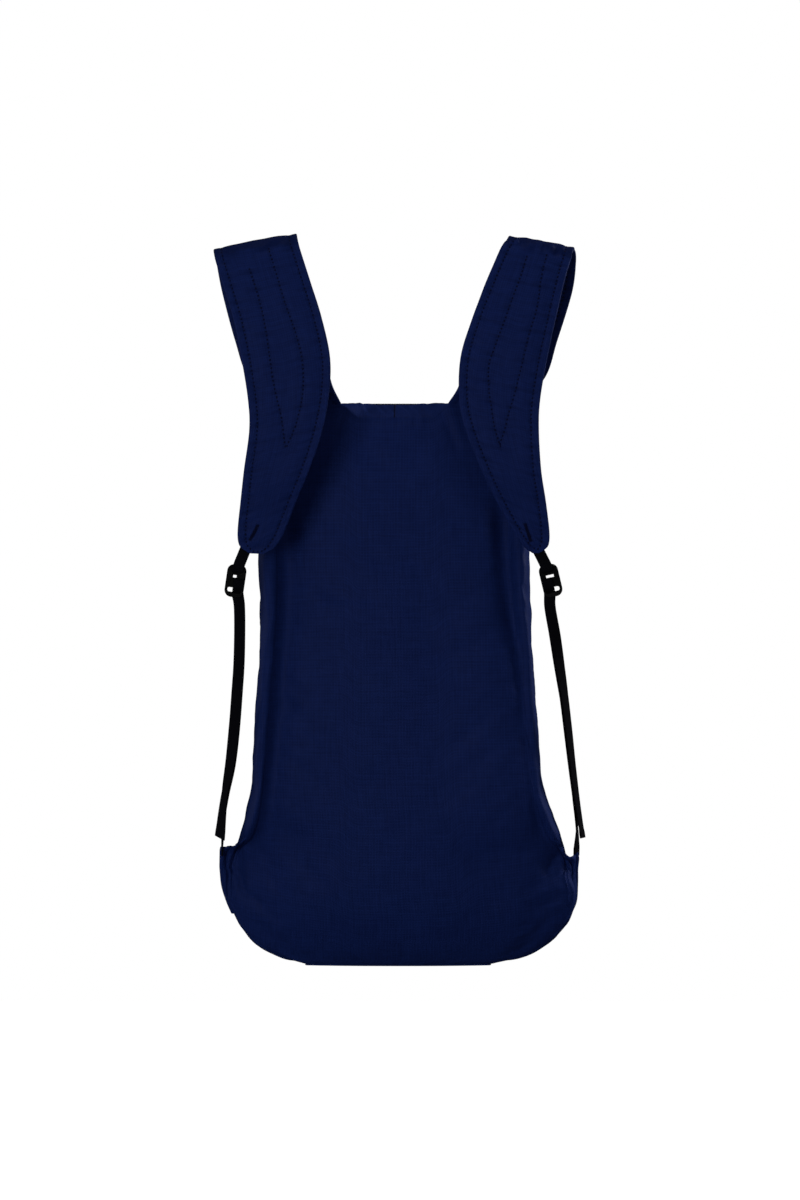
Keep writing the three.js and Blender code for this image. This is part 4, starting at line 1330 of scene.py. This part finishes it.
# %% Pleated wings
WING_EDGES = {
    "left": table("x y z", [
        [-149.4, 67, -507.2], [-150.4, 68, -512], [-150.6, 70, -524], [-149.4, 74, -538],
        [-145.6, 78, -553], [-140.5, 79, -565],
    ]),
    "right": table("x y z", [
        [156.6, 67, -512], [157.4, 68, -518], [156.6, 71, -529], [156.8, 75, -541],
        [156.0, 78, -554], [151.0, 79, -566],
    ]),
}
WING_STATIONS = (9.0, 13.0)
WING_ROOT = (1.3, 0.97)
WING_HOLLOW = {"left": 3.5, "right": 9}
WING_THICK = 2.4
WING_HEM = 4
WING_GRID = (44, 76)
WING_BOW = 1.0
WING_ROUND = 1.0
PLEAT_SWAY = 0.05
PLEAT_WAVE = 2.2
PLEAT_PHASE = 9
PLEAT_LOW = 0.25
BOW_FROM = 0.3
LEAST_EDGE = 0.08
WING_CRUMPLE = (0.25, 14)
WING_PLEATS = {
    # place across, half width, depth
    "left": [(0.23, 0.07, 3.8), (0.41, 0.06, -1.8), (0.62, 0.1, 5.2), (0.9, 0.08, -1.6)],
    "right": [
        (0.14, 0.07, 3.4), (0.3, 0.07, -1.4), (0.5, 0.08, 4.6), (0.68, 0.07, -1.2),
        (0.82, 0.06, 3.0),
    ],
}


def build_wing(name):
    """One pleated wing, from its root on the bag to the webbing's end."""
    side = SIDES[name]
    edges = np.stack(list(WING_EDGES[name].values()), -1)
    last = len(edges) - 1

    def point(w, t):
        q = side * mix(*WING_ROOT, smooth(t, 0, 2.5))
        down = mix(*WING_STATIONS, t / last)
        root = bag_point(q, down)
        relief = folds_relief(BACK_FOLDS, root[..., 0], root[..., 2]) - edge_roll(q, down)
        root[..., 1] += WING_THICK / 2 + relief
        place = mix(root, along(edges, t), w[..., None])
        high = 1 - t / last
        arch = np.sin(np.pi * w)
        place[..., 2] -= WING_HOLLOW[name] * arch * high ** 2
        place[..., 1] -= WING_BOW * arch * (1 - smooth(t, last * BOW_FROM, last))
        for middle, half, deep in WING_PLEATS[name]:
            shifted = middle + PLEAT_SWAY * np.sin(PLEAT_WAVE * t + PLEAT_PHASE * middle)
            place[..., 1] += deep * np.exp(-((w - shifted) / half) ** 2) * mix(PLEAT_LOW, 1, high)
        return place

    columns, rows = WING_GRID
    w, t = np.meshgrid(np.linspace(0, 1, columns), np.linspace(0, last, rows))
    plain = point(w, t)
    normal = surface_normal(point, w, t, 0.02, 0.05)
    normal *= -np.sign(normal[..., 1])[..., None]
    height, length = WING_CRUMPLE
    plain += normal * (height * crumple(plain, SEEDS["wing"] + side, length))[..., None]
    across, down = lengths(plain)
    edge = np.minimum.reduce([across[:, -1:] - across, down, down[-1:] - down + WING_ROUND])
    rounding = np.sqrt(1 - (1 - np.clip(edge / WING_ROUND, LEAST_EDGE, 1)) ** 2)
    half = (WING_THICK / 2 * rounding)[..., None]
    mesh = sheet_mesh(f"wing_{name}_cloth", plain + normal * half, plain - normal * half)
    piece = add_piece(f"wing_{name}_cloth", mesh, NAVY_CLOTH, "ripstop", f"wing_{name}")
    declare_sheet(piece, plain, WING_HEM)


for side_name in SIDES:
    build_wing(side_name)

# %% [markdown]
# ## Stitches and zip teeth
#
# Every row of stitches is a path on the cloth, and one Geometry Nodes tree lays small round bars
# along it. The tree's inputs set how far apart the bars are and how long, wide and high each is,
# so the coil of the zip is made by the same tree with bars that lie across the path.

# %% The tree that lays bars along a path
def build_bar_tree():
    tree, given, result = new_group("bars_along_path", "GeometryNodeTree", {
        "Path": "Geometry", "Pitch": "Float", "Length": "Float", "Width": "Float",
        "Height": "Float", "Material": "Material",
    }, {"Bars": "Geometry"})
    curve = add_node(tree, "GeometryNodeMeshToCurve", {"Mesh": given["Path"]})
    spaced = add_node(tree, "GeometryNodeResampleCurve", {
        "Curve": curve.outputs["Curve"], "Length": given["Pitch"],
    }, mode="LENGTH")
    tangent = add_node(tree, "GeometryNodeInputTangent").outputs["Tangent"]
    named = "GeometryNodeInputNamedAttribute"
    facing = add_node(tree, named, {"Name": "facing"}, data_type="FLOAT_VECTOR")
    lay = add_node(tree, "FunctionNodeAlignRotationToVector", {"Vector": tangent}, axis="X")
    turn = add_node(tree, "FunctionNodeAlignRotationToVector", {
        "Rotation": lay.outputs["Rotation"], "Vector": facing.outputs["Attribute"],
    }, axis="Z", pivot_axis="X")
    bar = add_node(tree, "GeometryNodeMeshUVSphere", {"Segments": 6, "Rings": 4, "Radius": 0.5})
    size = add_node(tree, "ShaderNodeCombineXYZ", {
        "X": given["Length"], "Y": given["Width"], "Z": given["Height"],
    })
    placed = add_node(tree, "GeometryNodeInstanceOnPoints", {
        "Points": spaced.outputs["Curve"], "Instance": bar.outputs["Mesh"],
        "Rotation": turn.outputs["Rotation"], "Scale": size.outputs["Vector"],
    })
    real = add_node(tree, "GeometryNodeRealizeInstances", {"Geometry": placed.outputs["Instances"]})
    shaded = add_node(tree, "GeometryNodeSetShadeSmooth", {"Geometry": real.outputs["Geometry"]})
    painted = add_node(tree, "GeometryNodeSetMaterial", {
        "Geometry": shaded.outputs["Geometry"], "Material": given["Material"],
    })
    feed(tree, result, {"Bars": painted.outputs["Geometry"]})
    return tree


BAR_TREE = build_bar_tree()
print("tree:", BAR_TREE.name, len(BAR_TREE.nodes), "nodes")

# %% Lay bars along paths
def lay_bars(name, paths, material, slot, **sizes):
    """Bars with sizes in mm along paths, each a pair of places and outward directions."""
    edges, start = [], 0
    for line, _ in paths:
        edges += [(i, i + 1) for i in range(start, start + len(line) - 1)]
        start += len(line)
    places, facing = (np.concatenate(parts) for parts in zip(*paths))
    mesh = bpy.data.meshes.new(name)
    mesh.from_pydata((places * MM).tolist(), edges, [])
    outward = mesh.attributes.new("facing", "FLOAT_VECTOR", "POINT")
    outward.data.foreach_set("vector", facing.ravel())
    holder = link_object(f"{name}_path", mesh)
    modifier = holder.modifiers.new("bars", "NODES")
    modifier.node_group = BAR_TREE
    values = {"Material": material, **{label.title(): size * MM for label, size in sizes.items()}}
    for socket in BAR_TREE.interface.items_tree:
        if socket.name in values:
            modifier[socket.identifier] = values[socket.name]
    bars = evaluated_mesh(holder)
    bars.name = name
    bars.materials.clear()
    add_piece(name, bars, material, slot)
    print(name, len(bars.polygons), "faces")


print("ready to sew")

# %% Stitches of the straps
STITCH = {"pitch": 3.5, "length": 1.9, "width": 1.6, "height": 0.7}
TACK = {"pitch": 0.55, "length": 2.6, "width": 0.5, "height": 0.7}
TACK_SWAY = 0.9
TACK_LIFT = 0.2
LEAST_INSET = 0.04
FIRST_STATION = 0.3


def sample(grid, rows, columns):
    """Points of a grid between its rows and columns."""
    rows = np.clip(rows, 0, grid.shape[0] - 1.001)
    columns = np.clip(columns, 0, grid.shape[1] - 1.001)
    i, j = rows.astype(int), columns.astype(int)
    f, g = (rows - i)[:, None], (columns - j)[:, None]
    top = mix(grid[i, j], grid[i, j + 1], g)
    return mix(top, mix(grid[i + 1, j], grid[i + 1, j + 1], g), f)


def on_strap(strap, w, t, face, lift=0.1):
    """A path on one face of a strap, with its outward directions."""
    rows = np.interp(t, strap["ts"], np.arange(len(strap["ts"])))
    columns = np.interp(w, strap["ws"], np.arange(len(strap["ws"])))
    outward = unit(sample(strap["normal"], rows, columns)) * (1 if face == "outer" else -1)
    return sample(strap[face], rows, columns) + lift * outward, outward


def strap_paths(name, face):
    """The rows of stitches on one face of a strap: round its edge and along its V."""
    strap = STRAPS[name]
    inset = 1 - STITCH_IN / strap["half"]
    rows = (inset > LEAST_INSET) & (strap["ts"] > FIRST_STATION)
    w, t = inset[rows], strap["ts"][rows]
    around_w = np.concatenate([w, -w[::-1]])
    around_t = np.concatenate([t, t[::-1]])
    paths = [on_strap(strap, around_w, around_t, face)]
    for line in STRAP_V[name]:
        t, w = dense(line)
        paths.append(on_strap(strap, w, t, face))
    return paths


for side_name in SIDES:
    seams = strap_paths(side_name, "outer") + strap_paths(side_name, "inner")
    lay_bars(f"strap_stitches_{side_name}", seams, NAVY_THREAD, "strap_cloth", **STITCH)
    t, w = dense(STRAP_TACK[side_name], 40)
    path, outward = on_strap(STRAPS[side_name], w, t, "outer", TACK_LIFT)
    sideways = unit(np.cross(outward, np.gradient(path, axis=0)))
    weave = path + sideways * np.where(np.arange(len(path)) % 2, TACK_SWAY, -TACK_SWAY)[:, None]
    lay_bars(f"strap_tack_{side_name}", [(weave, outward)], NAVY_THREAD, "strap_cloth", **TACK)

# %% The zip and the middle seam of the top
TAPE_INSET = 0.3
TAPE_PROUD = 0.1
COIL = {"pitch": 1.5, "length": 1.1, "width": 4.6, "height": 0.9}
COIL_POINTS = 60
COIL_END = 2
MIDDLE_SEAM = {"pitch": 1.2, "length": 1.3, "width": 1.5, "height": 0.6}
MIDDLE_SEAM_X = -0.9
MIDDLE_SEAM_UP = (0.0, -0.5, 0.9)

tape_grid = lens_grid(lambda q: zip_point(q, ZIP_RADIUS - TAPE_INSET), 121, 9)
upright = np.array([0, 0, 1])
tape_top, tape_under = tape_grid + TAPE_PROUD * upright, tape_grid - CLOTH * upright
tape_mesh = sheet_mesh("top_zip_tape", tape_top, tape_under)
add_piece("top_zip_tape", tape_mesh, ZIP_TAPE, "zip", "top_zip")
zip_line = np.tile([0.0, ZIP_Y, CREST_Z + TAPE_PROUD], (COIL_POINTS, 1))
zip_line[:, 0] = np.linspace(-ZIP_HALF + COIL_END, ZIP_HALF - COIL_END, COIL_POINTS)
upward = np.tile([0.0, 0.0, 1.0], (COIL_POINTS, 1))
lay_bars("top_zip_coil", [(zip_line, upward)], BLACK_THREAD, "zip", **COIL)

middle = np.argmin(np.abs(TOP_BACK[0, :, 0] - MIDDLE_SEAM_X))
seam_line = TOP_BACK[1:-1, middle]
seam_up = np.tile(unit(np.array(MIDDLE_SEAM_UP)), (len(seam_line), 1))
lay_bars("top_middle_seam", [(seam_line, seam_up)], NAVY_THREAD, "ripstop", **MIDDLE_SEAM)
